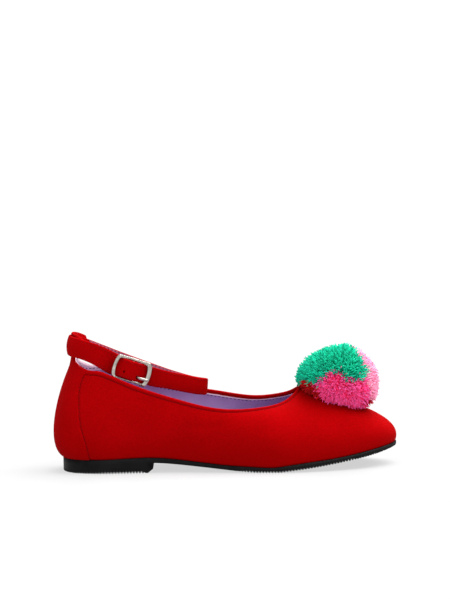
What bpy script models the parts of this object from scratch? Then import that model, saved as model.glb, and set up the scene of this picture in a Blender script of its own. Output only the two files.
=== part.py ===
"""Ballet flat with an ankle strap and a yarn pompom: a right shoe that stands on its sole.

Sizes are in millimetres and the model is in metres. +X points to the toe, -Y to the outer side
of the foot and +Z up. The origin is the centre of the heel's resting face.
"""

import math
from collections import namedtuple

import bmesh
import bpy
import numpy as np
from mathutils import Matrix, Vector
from mathutils.bvhtree import BVHTree

MM = 0.001
WELD = 0.004

# Driving sizes of the lasted form
LENGTH = 205.0
BALL_WIDTH = 70.0
COLLAR_HEIGHT = 62.0
HEEL_CENTRE = 31.0

# Wall, gaps and overlays
WALL = 1.6
GAP = 0.3
OVERLAY_STEP = 0.45
BINDING = 2.6
STEP_WIDTH = 0.5

# Back strip, neck and heel tab, with widths counted in sections from the centre back
STRIP_COLUMN = 1.55
STRIP_EASE = 0.65
STRIP_SEAM = 0.03
NECK_HALF = 0.56
NECK_CORNER = 0.68
NECK_RISE = 8.0
TAB_HALF = 1.25
TAB_RISE = 20.6
TAB_DROP = 3.4
TAB_FAN = 0.45
TAB_STEP_IN = 0.9
TAB_SETTLE = 4.0
TAB_LEAN = 0.11

# Sole and insole
LEDGE = 0.5
EDGE_BEVEL = 0.8
HEEL_FRONT = 56.8
BREAST_FRONT = 59.8
BREAST_CHAMFER = 2.2
BREAST_SLOPE = 0.3
SOLE_STATIONS = 44
NEAREST_STATION = 0.08
HALVINGS = 40
INSOLE = 1.8
INSOLE_GAP = 0.4

# Strap
STRAP = 1.5
STRAP_WIDTH = 11.4
STRAP_FRONT_WIDTH = 9.7
STRAP_LIFT = 13.2
STRAP_OUTER_DROP = 1.5
STRAP_INNER_DROP = 3.0
STRAP_BACK_STEPS = 4
STRAP_EASE = 0.55
LONGEST_STEP = 3.0

# Buckle
BUCKLE_CENTRE = (48.0, -14.2, 60.3)
BUCKLE_SLOPE = math.radians(18.5)
BUCKLE_TURN = math.radians(5.0)
FRAME_HALF_LENGTH = 10.5
FRAME_HALF_HEIGHT = 6.3
FRAME_ARCH = 2.7
END_BAR_RADIUS = 1.05
RAIL_RADIUS = 0.75
CENTRE_BAR_RADIUS = 0.8
PRONG_RADIUS = 0.65
SLOT_HALF = 1.1
HOLE_DEPTH = (0.6, 6.0)
ROD_RESOLUTION = 2
PRONG_ACROSS = -2.8

# Pompom
POMPOM_CENTRE = (171.0, -1.0, 51.6)
POMPOM_RADII = (23.6, 23.0, 18.6)
POMPOM_SWELL = 0.12
LOCK_LENGTHS = (1.4, 3.2)
LOCK_EVERY = 3
LOCK_RHYTHM = 7.3
POMPOM_SEAT = 0.45
STEEPEST_SEAT = 0.35
OVERHEAD = 200.0

Section = namedtuple("Section", (
    "feather_x", "feather_outer", "feather_inner",
    "collar_x", "collar_outer", "collar_inner", "collar_outer_z", "collar_inner_z",
    "belly_out", "belly_up", "shoulder_out", "shoulder_down"))

# The lasted form from heel to toe. x is a share of LENGTH, half widths are shares of BALL_WIDTH,
# and heights and handle lengths are shares of COLLAR_HEIGHT. Outer is the lateral side.
# Columns: feather x, outer, inner; collar x, outer, inner, outer z, inner z; belly out, up;
# shoulder out, down.
SECTIONS = (
    Section(0.0290, 0.000, 0.000, 0.0518, 0.000, 0.000, 1.000, 1.000, 0.163, 0.090, 0.156, 0.339),
    Section(0.0575, 0.221, 0.221, 0.0713, 0.164, 0.164, 1.000, 1.000, 0.138, 0.110, 0.140, 0.323),
    Section(0.1380, 0.336, 0.329, 0.1327, 0.271, 0.271, 0.989, 0.996, 0.081, 0.161, 0.084, 0.274),
    Section(0.2550, 0.333, 0.303, 0.2390, 0.319, 0.314, 0.845, 0.868, 0.081, 0.194, 0.048, 0.210),
    Section(0.3910, 0.350, 0.280, 0.3660, 0.354, 0.340, 0.705, 0.765, 0.081, 0.194, 0.056, 0.177),
    Section(0.5220, 0.423, 0.347, 0.4820, 0.379, 0.357, 0.613, 0.700, 0.065, 0.177, 0.097, 0.145),
    Section(0.6488, 0.497, 0.476, 0.5795, 0.364, 0.336, 0.605, 0.648, 0.048, 0.194, 0.153, 0.105),
    Section(0.7707, 0.468, 0.493, 0.6500, 0.284, 0.270, 0.629, 0.663, 0.048, 0.210, 0.234, 0.097),
    Section(0.8829, 0.365, 0.414, 0.6900, 0.170, 0.170, 0.682, 0.702, 0.065, 0.210, 0.427, 0.134),
    Section(0.9640, 0.196, 0.278, 0.7110, 0.082, 0.086, 0.742, 0.747, 0.081, 0.210, 0.581, 0.169),
    Section(1.0000, -0.045, 0.045, 0.7170, -0.005, 0.005, 0.765, 0.765, 0.085, 0.210, 0.629, 0.185),
)
LAST_ROW = len(SECTIONS) - 1
ROUND = 2 * LAST_ROW
NUDGE = 0.01

SoleRow = namedtuple("SoleRow", ("along", "top", "thickness"))

# Side profile of the sole: share of LENGTH, height of its top and thickness ahead of the heel
SOLE = (
    SoleRow(0.00, 8.2, 2.9),
    SoleRow(0.14, 8.2, 2.9),
    SoleRow(0.31, 8.7, 3.0),
    SoleRow(0.43, 5.9, 2.6),
    SoleRow(0.50, 4.3, 2.6),
    SoleRow(0.575, 3.4, 3.2),
    SoleRow(0.64, 3.0, 3.3),
    SoleRow(0.68, 4.0, 3.5),
    SoleRow(0.74, 5.5, 3.6),
    SoleRow(0.81, 7.0, 3.2),
    SoleRow(0.87, 8.8, 3.1),
    SoleRow(0.925, 10.7, 3.1),
    SoleRow(1.00, 13.2, 2.3),
)

SeamRow = namedtuple("SeamRow", ("height", "sections"))

# Edge of the back strip: share of the wall's height, and sections from the centre back
STRIP_EDGE = (
    SeamRow(0.00, 1.700),
    SeamRow(0.23, 1.650),
    SeamRow(0.44, 1.525),
    SeamRow(0.62, 1.455),
    SeamRow(0.80, 1.425),
    SeamRow(0.90, 1.500),
    SeamRow(1.00, 1.640),
)

NeckRow = namedtuple("NeckRow", ("sections", "rise"))

# Collar's edge beside the neck: sections from the centre back, and rise over the collar's base line
NECK_EDGE = (
    NeckRow(NECK_HALF, NECK_RISE),
    NeckRow(0.68, 5.2),
    NeckRow(0.82, 4.0),
    NeckRow(0.95, 3.0),
    NeckRow(1.10, 1.6),
    NeckRow(1.30, 0.0),
    NeckRow(1.50, -1.0),
    NeckRow(1.75, -1.1),
    NeckRow(2.00, -0.3),
    NeckRow(2.25, 0.0),
)

StrapRow = namedtuple("StrapRow", ("x", "y", "z", "width"))

# Centre line of the strap away from the buckle and the heel tab, in millimetres
STRAP_INNER_SIDE = (
    StrapRow(28.0, 17.2, 68.0, 11.2),
    StrapRow(41.0, 15.0, 63.0, 11.0),
    StrapRow(57.0, 12.6, 57.2, 10.6),
    StrapRow(73.0, 9.6, 51.9, 10.2),
    StrapRow(85.0, 6.4, 48.9, 10.0),
    StrapRow(91.2, 2.9, 48.2, 10.0),
)
STRAP_OUTER_SIDE = (
    StrapRow(91.8, -2.0, 48.5, 10.0),
    StrapRow(87.0, -6.2, 49.4, 10.1),
    StrapRow(78.0, -9.6, 51.7, 10.2),
    StrapRow(68.0, -12.0, 54.2, 10.2),
)
STRAP_OUTER_BACK = (
    StrapRow(28.0, -17.0, 70.0, 12.0),
)

# A quarter of the buckle's rim from its end bar to its rail, in shares of the half length and height
FRAME_QUARTER = ((1.0, 0.0), (0.973, 0.5), (0.931, 0.8), (0.838, 1.0), (0.55, 1.024), (0.2, 1.032))
FRAME_CORNER = 0.838

# The strap's ends in the buckle: place along the buckle and height above its centre bar
FIXED_END = ((-9.0, -3.6), (-5.0, -3.0), (-2.0, -2.2))
LOOP_RADIUS = CENTRE_BAR_RADIUS + GAP + STRAP / 2
LOOP_TURNS = (-90.0, -54.0, -18.0, 18.0, 54.0, 90.0)
FIXED_LEAVES = ((-2.6, 1.5), (-6.0, 0.0), (-10.5, -1.7))
FREE_END = ((14.5, 0.0), (10.5, 0.1), (8.4, 0.8), (5.4, 2.3), (2.0, 3.5),
            (-2.0, 3.5), (-5.4, 2.3), (-8.4, 0.8), (-10.5, 0.15), (-12.2, 0.1))
BUCKLE_STRAP_WIDTH = 10.2

# The prong's path in the same two directions
PRONG_HOOK = (150.0, 190.0, 230.0, 270.0, 310.0, 345.0)
PRONG_HOOK_RADIUS = CENTRE_BAR_RADIUS + GAP + PRONG_RADIUS
PRONG_PATH = ((2.7, 0.9), (3.6, 2.2), (4.5, 3.7), (6.0, 4.3), (8.5, 4.4), (11.4, 4.55))
PRONG_HOLE = (2.75, 5.5)

# Rows and columns of the upper's mesh: shares of the wall's and of the tab's height
COLUMNS_PER_SECTION = 4
NEAREST_COLUMN = 0.055
WALL_ROWS = (0.0, 0.05, 0.13, 0.24, 0.37, 0.52, 0.68, 0.84, 1.0)
TAB_ROWS = (0.0, 0.2, TAB_FAN, 0.75, 1.0)

UP = np.array((0.0, 0.0, 1.0))
LEANING = np.array((TAB_LEAN, 0.0, 1.0))


def unit(vector):
    return vector / np.linalg.norm(vector)


def closed_spline(values):
    """A smooth closed curve through values at whole numbers of its parameter."""
    points = np.array(values, dtype=float)
    count = len(points)
    ties = np.eye(count) * 4.0
    for row in range(count):
        ties[row, row - 1] += 1.0
        ties[row, (row + 1) % count] += 1.0
    slopes = np.linalg.solve(ties, 3.0 * (np.roll(points, -1, 0) - np.roll(points, 1, 0)))

    def at(place):
        whole = math.floor(place)
        part = place - whole
        first = whole % count
        return hermite(points[first], points[(first + 1) % count],
                       slopes[first], slopes[(first + 1) % count], part)

    return at


def open_spline(places, values):
    """A smooth curve through values at rising places, with straight ends."""
    places = np.array(places, dtype=float)
    points = np.array(values, dtype=float)
    slopes = np.gradient(points, places, axis=0)

    def at(place):
        first = int(np.clip(np.searchsorted(places, place) - 1, 0, len(places) - 2))
        span = places[first + 1] - places[first]
        return hermite(points[first], points[first + 1],
                       slopes[first] * span, slopes[first + 1] * span, (place - places[first]) / span)

    return at


def hermite(start, end, start_slope, end_slope, part):
    square = part * part
    cube = square * part
    return ((2 * cube - 3 * square + 1) * start + (3 * square - 2 * cube) * end
            + (cube - 2 * square + part) * start_slope + (cube - square) * end_slope)


def ring_controls():
    """Each section's values in order round the shoe: heel, outer side, toe, inner side."""
    outer = [side_values(row, -row.feather_outer, -row.collar_outer, row.collar_outer_z) for row in SECTIONS]
    inner = [side_values(row, row.feather_inner, row.collar_inner, row.collar_inner_z) for row in SECTIONS]
    return outer + inner[-2:0:-1]


def side_values(row, feather_y, collar_y, collar_z):
    tall = COLLAR_HEIGHT
    return (row.feather_x * LENGTH, feather_y * BALL_WIDTH,
            row.collar_x * LENGTH, collar_y * BALL_WIDTH, collar_z * tall,
            row.belly_out * tall, row.belly_up * tall, row.shoulder_out * tall, row.shoulder_down * tall)


ring = closed_spline(ring_controls())
sole_top = open_spline([row.along * LENGTH for row in SOLE], [row.top for row in SOLE])
sole_thickness = open_spline([row.along * LENGTH for row in SOLE], [row.thickness for row in SOLE])
strip_edge = open_spline([row.height for row in STRIP_EDGE], [row.sections for row in STRIP_EDGE])
neck_edge = open_spline([row.sections for row in NECK_EDGE], [row.rise for row in NECK_EDGE])


def outward(u, first):
    """Horizontal direction out of the shoe at place u of the feather (0) or the collar (2)."""
    step = ring(u + NUDGE) - ring(u - NUDGE)
    return unit(np.array((step[first + 1], -step[first], 0.0)))


def form(u, t):
    """A point of the form: u runs round the shoe by sections, t from feather (0) to collar (1)."""
    x, y, collar_x, collar_y, collar_z, belly_out, belly_up, shoulder_out, shoulder_down = ring(u)
    feather = np.array((x, y, float(sole_top(x)) + GAP))
    collar = np.array((collar_x, collar_y, collar_z))
    collar_out = outward(u, 2)
    if t > 1.0:
        rise = (t - 1.0) * COLLAR_HEIGHT
        lean = TAB_STEP_IN * (1.0 - math.exp(-rise / TAB_SETTLE)) + TAB_LEAN * rise
        return collar - collar_out * lean + UP * rise
    belly = feather + outward(u, 0) * belly_out + UP * belly_up
    shoulder = collar + collar_out * shoulder_out - UP * shoulder_down
    rest = 1.0 - t
    return (feather * rest ** 3 + belly * 3 * rest * rest * t
            + shoulder * 3 * rest * t * t + collar * t ** 3)


def form_normal(u, t):
    across = form(u + NUDGE, t) - form(u - NUDGE, t)
    along = form(u, t + NUDGE) - form(u, t - NUDGE)
    return unit(np.cross(across, along))


def back_distance(u):
    """Sections between place u and the centre back, with the side as its sign."""
    return (u + LAST_ROW) % ROUND - LAST_ROW


def neck_height(u):
    """Height of the collar's edge above its base line, which rises into the neck at the back."""
    away = abs(back_distance(u))
    return float(neck_edge(np.clip(away, NECK_HALF, NECK_EDGE[-1].sections)))


def along_seam(u, t):
    """Place u moved along so that the back strip's column follows its curved edge."""
    away = back_distance(u)
    weight = max(0.0, 1.0 - abs(abs(away) - STRIP_COLUMN) / STRIP_EASE)
    side = math.copysign(1.0, away)
    return u + side * weight * (float(strip_edge(min(t, 1.0))) - STRIP_COLUMN)


def upper_columns():
    """Places of the wall's columns, with close pairs at the neck and the back strip's edges."""
    edges = (NECK_HALF, NECK_CORNER, STRIP_COLUMN, STRIP_COLUMN + STRIP_SEAM)
    even = [step / COLUMNS_PER_SECTION for step in range(COLUMNS_PER_SECTION * ROUND)]
    kept = [u for u in even if min(abs(abs(back_distance(u)) - edge) for edge in edges) > NEAREST_COLUMN]
    return sorted(kept + list(edges) + [ROUND - edge for edge in edges])


def row_heights(u):
    """The wall's t values in one column, from the feather to the collar's edge."""
    shoulder = ring(u)[7:9]
    speed = 3.0 * float(np.hypot(*shoulder))
    rise = neck_height(u)
    edge = 1.0 + rise / (COLLAR_HEIGHT if rise > 0.0 else speed)
    binding = edge - BINDING / (COLLAR_HEIGHT if rise > 0.0 else speed)
    below = binding - STEP_WIDTH / speed
    return [below * share for share in WALL_ROWS] + [binding, edge]


def wall_pair(u, t, raised, at_feather):
    """The outer and inner points of the wall at one place of the form."""
    point = form(u, t)
    if at_feather:
        return point, point - outward(u, 0) * WALL
    normal = form_normal(u, t)
    return point + normal * (OVERLAY_STEP if raised else 0.0), point - normal * WALL


def build_upper(material, collection):
    columns = upper_columns()
    outer, inner = [], []
    for u in columns:
        heights = row_heights(u)
        strip = abs(back_distance(u)) < STRIP_COLUMN + STRIP_SEAM / 2
        pairs = [wall_pair(along_seam(u, t), t, strip or row >= len(heights) - 2, row == 0)
                 for row, t in enumerate(heights)]
        outer.append([pair[0] for pair in pairs])
        inner.append([pair[1] for pair in pairs])
    count = len(columns)
    rows = len(outer[0])
    cells = [(column, (column + 1) % count, row) for column in range(count) for row in range(rows - 1)]
    sheet = WallSheet()
    for column, following, row in cells:
        sheet.cell([(column, row), (following, row), (following, row + 1), (column, row + 1)])
    sheet.points = {(column, row): (outer[column][row], inner[column][row])
                    for column in range(count) for row in range(rows)}
    add_tab(sheet, columns, rows)
    return sheet.to_object("upper", material, collection)


def add_tab(sheet, columns, rows):
    """The heel tab above the neck, fanned out behind the strap."""
    neck = [index for index, u in enumerate(columns) if abs(back_distance(u)) < NECK_CORNER]
    neck.sort(key=lambda index: back_distance(columns[index]))
    for index in neck:
        away = back_distance(columns[index])
        top = TAB_RISE - TAB_DROP * abs(away / NECK_HALF) ** 3
        for level, share in enumerate(TAB_ROWS[1:], start=1):
            wide = away * (1.0 + (TAB_HALF / NECK_HALF - 1.0) * min(1.0, share / TAB_FAN))
            t = 1.0 + (NECK_RISE + (top - NECK_RISE) * share) / COLLAR_HEIGHT
            sheet.points[(index, rows - 1 + level)] = wall_pair(wide, t, True, False)
    for first, second in zip(neck, neck[1:]):
        for level in range(len(TAB_ROWS) - 1):
            row = rows - 1 + level
            sheet.cell([(first, row), (second, row), (second, row + 1), (first, row + 1)])


class WallSheet:
    """A wall between two matching skins, closed by a rim along every free edge."""

    def __init__(self):
        self.points = {}
        self.cells = []

    def cell(self, corners):
        self.cells.append(corners)

    def to_object(self, name, material, collection):
        build = bmesh.new()
        skins = {key: [build.verts.new(placed(point)) for point in pair] for key, pair in self.points.items()}
        edges = set()
        for corners in self.cells:
            build.faces.new([skins[key][0] for key in corners])
            build.faces.new([skins[key][1] for key in reversed(corners)])
            for start, end in zip(corners, corners[1:] + corners[:1]):
                edges.add((start, end))
        for start, end in sorted(edges):
            if (end, start) not in edges:
                build.faces.new((skins[end][0], skins[start][0], skins[start][1], skins[end][1]))
        return finished(build, name, material, collection)


def placed(point):
    """A point of the form in metres, with the heel's centre as the origin."""
    return ((point[0] - HEEL_CENTRE) * MM, point[1] * MM, point[2] * MM)


def finished(build, name, material, collection):
    """Close up a bmesh, turn its faces outwards and add it to the collection."""
    bmesh.ops.remove_doubles(build, verts=build.verts[:], dist=WELD * MM)
    bmesh.ops.triangulate(build, faces=build.faces[:])
    bmesh.ops.recalc_face_normals(build, faces=build.faces[:])
    mesh = bpy.data.meshes.new(name)
    build.to_mesh(mesh)
    build.free()
    made = bpy.data.objects.new(name, mesh)
    made.data.materials.append(material)
    collection.objects.link(made)
    return made


def loft(sections, name, material, collection, closed=False):
    """A solid through closed sections of equal point counts, capped at its ends unless closed."""
    build = bmesh.new()
    rings = [[build.verts.new(placed(point)) for point in section] for section in sections]
    count = len(rings[0])
    following = rings[1:] + rings[:1] if closed else rings[1:]
    for here, there in zip(rings, following):
        for corner in range(count):
            beside = (corner + 1) % count
            build.faces.new((here[corner], here[beside], there[beside], there[corner]))
    if not closed:
        build.faces.new(list(reversed(rings[0])))
        build.faces.new(rings[-1])
    return finished(build, name, material, collection)


def place_at(x):
    """The place on the outer side where the feather line reaches x."""
    low, high = 0.0, float(LAST_ROW)
    for _ in range(HALVINGS):
        middle = (low + high) / 2
        if ring(middle)[0] < x:
            low = middle
        else:
            high = middle
    return low


def feather_pair(u, inset):
    """The feather line's outer and inner side points at place u, moved in by inset."""
    pair = []
    for place in (u, -u):
        value = ring(place)
        pair.append(np.array((value[0], value[1], 0.0)) - outward(place, 0) * inset)
    return pair


def sole_bottom(x):
    """Height of the sole's underside: flat under the heel and the ball, and arched between."""
    ahead = max(0.0, float(sole_top(x)) - float(sole_thickness(x)))
    if x <= HEEL_FRONT:
        return 0.0
    if x <= BREAST_FRONT:
        return BREAST_CHAMFER * (x - HEEL_FRONT) / (BREAST_FRONT - HEEL_FRONT)
    share = min(1.0, (x - BREAST_FRONT) / BREAST_SLOPE)
    return BREAST_CHAMFER + (ahead - BREAST_CHAMFER) * share


def station_places():
    """Places along the sole, with the heel's corners among them."""
    places = [step * LAST_ROW / SOLE_STATIONS for step in range(1, SOLE_STATIONS)]
    corners = [place_at(x) for x in (HEEL_FRONT, BREAST_FRONT, BREAST_FRONT + BREAST_SLOPE)]
    kept = [place for place in places if min(abs(place - corner) for corner in corners) > NEAREST_STATION]
    return [0.0] + sorted(kept + corners) + [float(LAST_ROW)]


def build_outsole(material, collection):
    sections = []
    for u in station_places():
        x = float(ring(u)[0])
        top, bottom = float(sole_top(x)), sole_bottom(x)
        bevel = min(EDGE_BEVEL, (top - bottom) / 2)
        side = feather_pair(u, -LEDGE)
        foot = feather_pair(u, bevel - LEDGE)
        if u in (0.0, float(LAST_ROW)):
            side[1], foot[1] = side[0], foot[0]
        outer, inner = side
        sections.append((outer + UP * top, outer + UP * (bottom + bevel), foot[0] + UP * bottom,
                         foot[1] + UP * bottom, inner + UP * (bottom + bevel), inner + UP * top))
    return loft(sections, "outsole", material, collection)


def build_insole(material, collection):
    sections = []
    for u in station_places():
        outer, inner = feather_pair(u, WALL + INSOLE_GAP)
        if u in (0.0, float(LAST_ROW)):
            inner = outer
        base = [float(sole_top(point[0])) + GAP for point in (outer, inner)]
        sections.append((outer + UP * (base[0] + INSOLE), outer + UP * base[0],
                         inner + UP * base[1], inner + UP * (base[1] + INSOLE)))
    return loft(sections, "insole", material, collection)


def buckle_axes():
    """The buckle's directions: along the strap to the front, across it upwards, and outwards."""
    along = np.array((math.cos(BUCKLE_SLOPE) * math.cos(BUCKLE_TURN),
                      math.cos(BUCKLE_SLOPE) * math.sin(BUCKLE_TURN), -math.sin(BUCKLE_SLOPE)))
    out = np.array((math.sin(BUCKLE_TURN), -math.cos(BUCKLE_TURN), 0.0))
    return along, np.cross(out, along), out


def at_buckle(along, out, across=0.0):
    axes = buckle_axes()
    return np.array(BUCKLE_CENTRE) + axes[0] * along + axes[1] * across + axes[2] * out


def strap_round_tab():
    """Centre line of the strap round the outside of the heel tab, from outer to inner side."""
    rows = []
    stand = OVERLAY_STEP + GAP + STRAP / 2 + STRAP_EASE
    for step in range(STRAP_BACK_STEPS, -STRAP_BACK_STEPS - 1, -1):
        share = step / STRAP_BACK_STEPS
        u = share * TAB_HALF
        drop = STRAP_OUTER_DROP if share > 0.0 else STRAP_INNER_DROP
        lift = STRAP_LIFT - drop * share * share
        point = form(u, 1.0 + lift / COLLAR_HEIGHT) + outward(u, 2) * stand
        rows.append((*point, STRAP_WIDTH))
    return rows


def round_bar(radius, angles):
    """Points round the centre bar at angles in degrees from the front."""
    turns = [math.radians(angle) for angle in angles]
    return [(radius * math.cos(turn), radius * math.sin(turn)) for turn in turns]


def buckle_rows(path, width):
    return [(*at_buckle(along, out), width) for along, out in path]


def strap_line():
    """Rows of x, y, z and width along the strap's centre line, and which of them lie in the buckle."""
    loop = round_bar(LOOP_RADIUS, LOOP_TURNS)
    start = buckle_rows(FIXED_END + tuple(loop) + FIXED_LEAVES, BUCKLE_STRAP_WIDTH)
    middle = [*STRAP_OUTER_BACK, *strap_round_tab(), *STRAP_INNER_SIDE, *STRAP_OUTER_SIDE]
    end = buckle_rows(FREE_END, STRAP_FRONT_WIDTH)
    rows = [tuple(row) for row in start + middle + end]
    held = [True] * len(start) + [False] * len(middle) + [True] * len(end)
    return rows, held


def strap_sections():
    rows, held = strap_line()
    line = np.array(rows)
    lengths = np.linalg.norm(np.diff(line[:, :3], axis=0), axis=1)
    places = np.concatenate(((0.0,), np.cumsum(lengths)))
    curve = open_spline(places, line)
    held_at = open_spline(places, [[float(flag)] for flag in held])
    samples = sorted(set(places) | set(((places[:-1] + places[1:]) / 2)[lengths > LONGEST_STEP]))
    across = buckle_axes()[1]
    sections = []
    for place in samples:
        row = curve(place)
        heading = unit(curve(place + NUDGE)[:3] - curve(place - NUDGE)[:3])
        upright = unit(LEANING - heading * float(heading @ LEANING))
        share = float(np.clip(held_at(place)[0], 0.0, 1.0))
        width = unit(across * share + upright * (1.0 - share)) * row[3] / 2
        depth = unit(np.cross(heading, width)) * STRAP / 2
        middle = row[:3]
        sections.append((middle + width + depth, middle + width - depth,
                         middle - width - depth, middle - width + depth))
    return sections


def buckle_box(name, along, across, out, collection):
    """A cutter square to the buckle, between two limits in each of its directions."""
    limits = np.array((along, across, out))
    middle = limits.mean(axis=1)
    turned = Matrix(np.column_stack(buckle_axes())).to_4x4()
    sized = Matrix.Diagonal((*(np.ptp(limits, axis=1) * MM), 1.0))
    centre = placed(at_buckle(middle[0], middle[2], middle[1]))
    build = bmesh.new()
    bmesh.ops.create_cube(build, size=1.0, matrix=Matrix.Translation(centre) @ turned @ sized)
    mesh = bpy.data.meshes.new(name)
    build.to_mesh(mesh)
    build.free()
    return as_guide(bpy.data.objects.new(name, mesh), collection)


def as_guide(made, collection):
    """Keep an object out of the model, as a tool for cutting or joining."""
    made.display_type = "WIRE"
    made.hide_render = True
    collection.objects.link(made)
    return made


def combine(target, other, operation):
    step = target.modifiers.new(operation.lower(), "BOOLEAN")
    step.operation = operation
    step.solver = "EXACT"
    step.object = other


def build_strap(material, collection, cutters):
    strap = loft(strap_sections(), "ankle_strap", material, collection)
    reach = LOOP_RADIUS + STRAP
    width = (PRONG_ACROSS - SLOT_HALF, PRONG_ACROSS + SLOT_HALF)
    above_loop = LOOP_RADIUS + STRAP / 2 + GAP / 2
    slot = buckle_box("prong_slot", (-reach, reach), width, (-reach, above_loop), cutters)
    hole = buckle_box("prong_hole", PRONG_HOLE, width, HOLE_DEPTH, cutters)
    combine(strap, slot, "DIFFERENCE")
    combine(strap, hole, "DIFFERENCE")
    return strap


def rod(path, name, closed=False):
    """A round rod through rows of x, y, z and radius, as a mesh object in no collection yet."""
    curve = bpy.data.curves.new(name, "CURVE")
    curve.dimensions = "3D"
    curve.bevel_depth = MM
    curve.bevel_resolution = ROD_RESOLUTION
    curve.use_fill_caps = True
    spline = curve.splines.new("POLY")
    spline.points.add(len(path) - 1)
    spline.use_cyclic_u = closed
    for point, (x, y, z, radius) in zip(spline.points, path):
        point.co = (*placed((x, y, z)), 1.0)
        point.radius = radius
    guide = bpy.data.objects.new(name + "_line", curve)
    mesh = bpy.data.meshes.new_from_object(guide)
    bpy.data.objects.remove(guide)
    build = bmesh.new()
    build.from_mesh(mesh)
    bmesh.ops.remove_doubles(build, verts=build.verts[:], dist=WELD * MM)
    bmesh.ops.recalc_face_normals(build, faces=build.faces[:])
    build.to_mesh(mesh)
    build.free()
    return bpy.data.objects.new(name, mesh)


def frame_path():
    """Centre line and radius of the frame's rim, from corner to corner round the buckle."""
    upper_half = FRAME_QUARTER + tuple((-along, across) for along, across in reversed(FRAME_QUARTER))
    lower_half = tuple((-along, -across) for along, across in upper_half[1:-1])
    path = []
    for along, across in upper_half + lower_half:
        share = min(1.0, abs(along) / FRAME_CORNER)
        radius = RAIL_RADIUS + (END_BAR_RADIUS - RAIL_RADIUS) * share ** 4
        point = at_buckle(along * FRAME_HALF_LENGTH, FRAME_ARCH * share * share, across * FRAME_HALF_HEIGHT)
        path.append((*point, radius))
    return path


def build_frame(material, collection, cutters):
    frame = rod(frame_path(), "buckle_frame", closed=True)
    frame.data.materials.append(material)
    collection.objects.link(frame)
    reach = (-FRAME_HALF_HEIGHT, FRAME_HALF_HEIGHT)
    ends = [(*at_buckle(0.0, 0.0, across), CENTRE_BAR_RADIUS) for across in reach]
    combine(frame, as_guide(rod(ends, "centre_bar"), cutters), "UNION")
    return frame


def build_prong(material, collection):
    """The prong: a hook round the centre bar, then out through the strap to the front bar."""
    line = round_bar(PRONG_HOOK_RADIUS, PRONG_HOOK) + list(PRONG_PATH)
    path = [(*at_buckle(along, out, PRONG_ACROSS), PRONG_RADIUS) for along, out in line]
    prong = rod(path, "buckle_prong")
    prong.data.materials.append(material)
    collection.objects.link(prong)
    return prong


def build_pompom(material, collection, upper):
    """A ball of yarn with locks drawn out of its faces, seated on the vamp."""
    build = bmesh.new()
    bmesh.ops.create_icosphere(build, subdivisions=3, radius=1.0)
    build.faces.ensure_lookup_table()
    locks = [face for index, face in enumerate(build.faces) if index % LOCK_EVERY == 0]
    tips = bmesh.ops.poke(build, faces=locks)["verts"]
    spread = LOCK_LENGTHS[1] - LOCK_LENGTHS[0]
    lengths = {tip: LOCK_LENGTHS[0] + spread * (0.5 + 0.5 * math.sin(LOCK_RHYTHM * order))
               for order, tip in enumerate(tips)}
    centre = Vector(placed(POMPOM_CENTRE))
    for vert in build.verts:
        ray = vert.co.normalized()
        body = Vector([share * radius * MM for share, radius in zip(ray, POMPOM_RADII)])
        body.z *= 1.0 + POMPOM_SWELL * ray.x
        vert.co = centre + body + ray * lengths.get(vert, 0.0) * MM
    seat_on(build, upper)
    return finished(build, "pompom", material, collection)


def seat_on(build, upper):
    """Lift every point of the pompom that would be in the vamp to just above it."""
    tree = BVHTree.FromObject(upper, bpy.context.evaluated_depsgraph_get())
    for vert in build.verts:
        hit = tree.ray_cast(Vector((vert.co.x, vert.co.y, OVERHEAD * MM)), Vector((0.0, 0.0, -1.0)))
        if hit[0] is not None:
            seat = hit[0].z + POMPOM_SEAT * MM / max(STEEPEST_SEAT, hit[1].z)
            vert.co.z = max(vert.co.z, seat)


def new_material(name, colour, roughness, metallic=0.0):
    material = bpy.data.materials.new(name)
    material.use_nodes = True
    shader = material.node_tree.nodes["Principled BSDF"]
    shader.inputs["Base Color"].default_value = (*colour, 1.0)
    shader.inputs["Roughness"].default_value = roughness
    shader.inputs["Metallic"].default_value = metallic
    return material


def clear_scene():
    for item in list(bpy.data.objects):
        bpy.data.objects.remove(item, do_unlink=True)


def new_collection(name):
    collection = bpy.data.collections.new(name)
    bpy.context.scene.collection.children.link(collection)
    return collection


def main():
    clear_scene()
    parts = new_collection("ballet_flat")
    cutters = new_collection("cutters")
    cutters.hide_render = True
    suede = new_material("red_suede", (0.36, 0.012, 0.016), 0.95)
    strap_suede = new_material("strap_suede", (0.38, 0.014, 0.018), 0.95)
    rubber = new_material("black_rubber", (0.012, 0.012, 0.013), 0.6)
    leather = new_material("lilac_leather", (0.42, 0.33, 0.50), 0.6)
    nickel = new_material("nickel", (0.72, 0.70, 0.68), 0.2, 1.0)
    prong_nickel = new_material("prong_nickel", (0.72, 0.70, 0.68), 0.25, 1.0)
    yarn = new_material("yarn", (0.35, 0.45, 0.08), 0.9)
    build_outsole(rubber, parts)
    build_insole(leather, parts)
    upper = build_upper(suede, parts)
    build_strap(strap_suede, parts, cutters)
    build_frame(nickel, parts, cutters)
    build_prong(prong_nickel, parts)
    bpy.context.view_layer.update()
    build_pompom(yarn, parts, upper)


main()
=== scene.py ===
"""Looks of the red ballet flat: suede upper, lined strap, buckle, yarn pompom and rubber sole.

Sizes are in millimetres, x is counted from the upper's rearmost point, +X is the toe, -Y the outer
side of the foot and +Z up. Meshes are made in metres with the heel's centre as the origin.
"""

import math
from collections import namedtuple

import bmesh
import bpy
import numpy as np
from mathutils import Matrix, Vector
from mathutils.bvhtree import BVHTree

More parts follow.
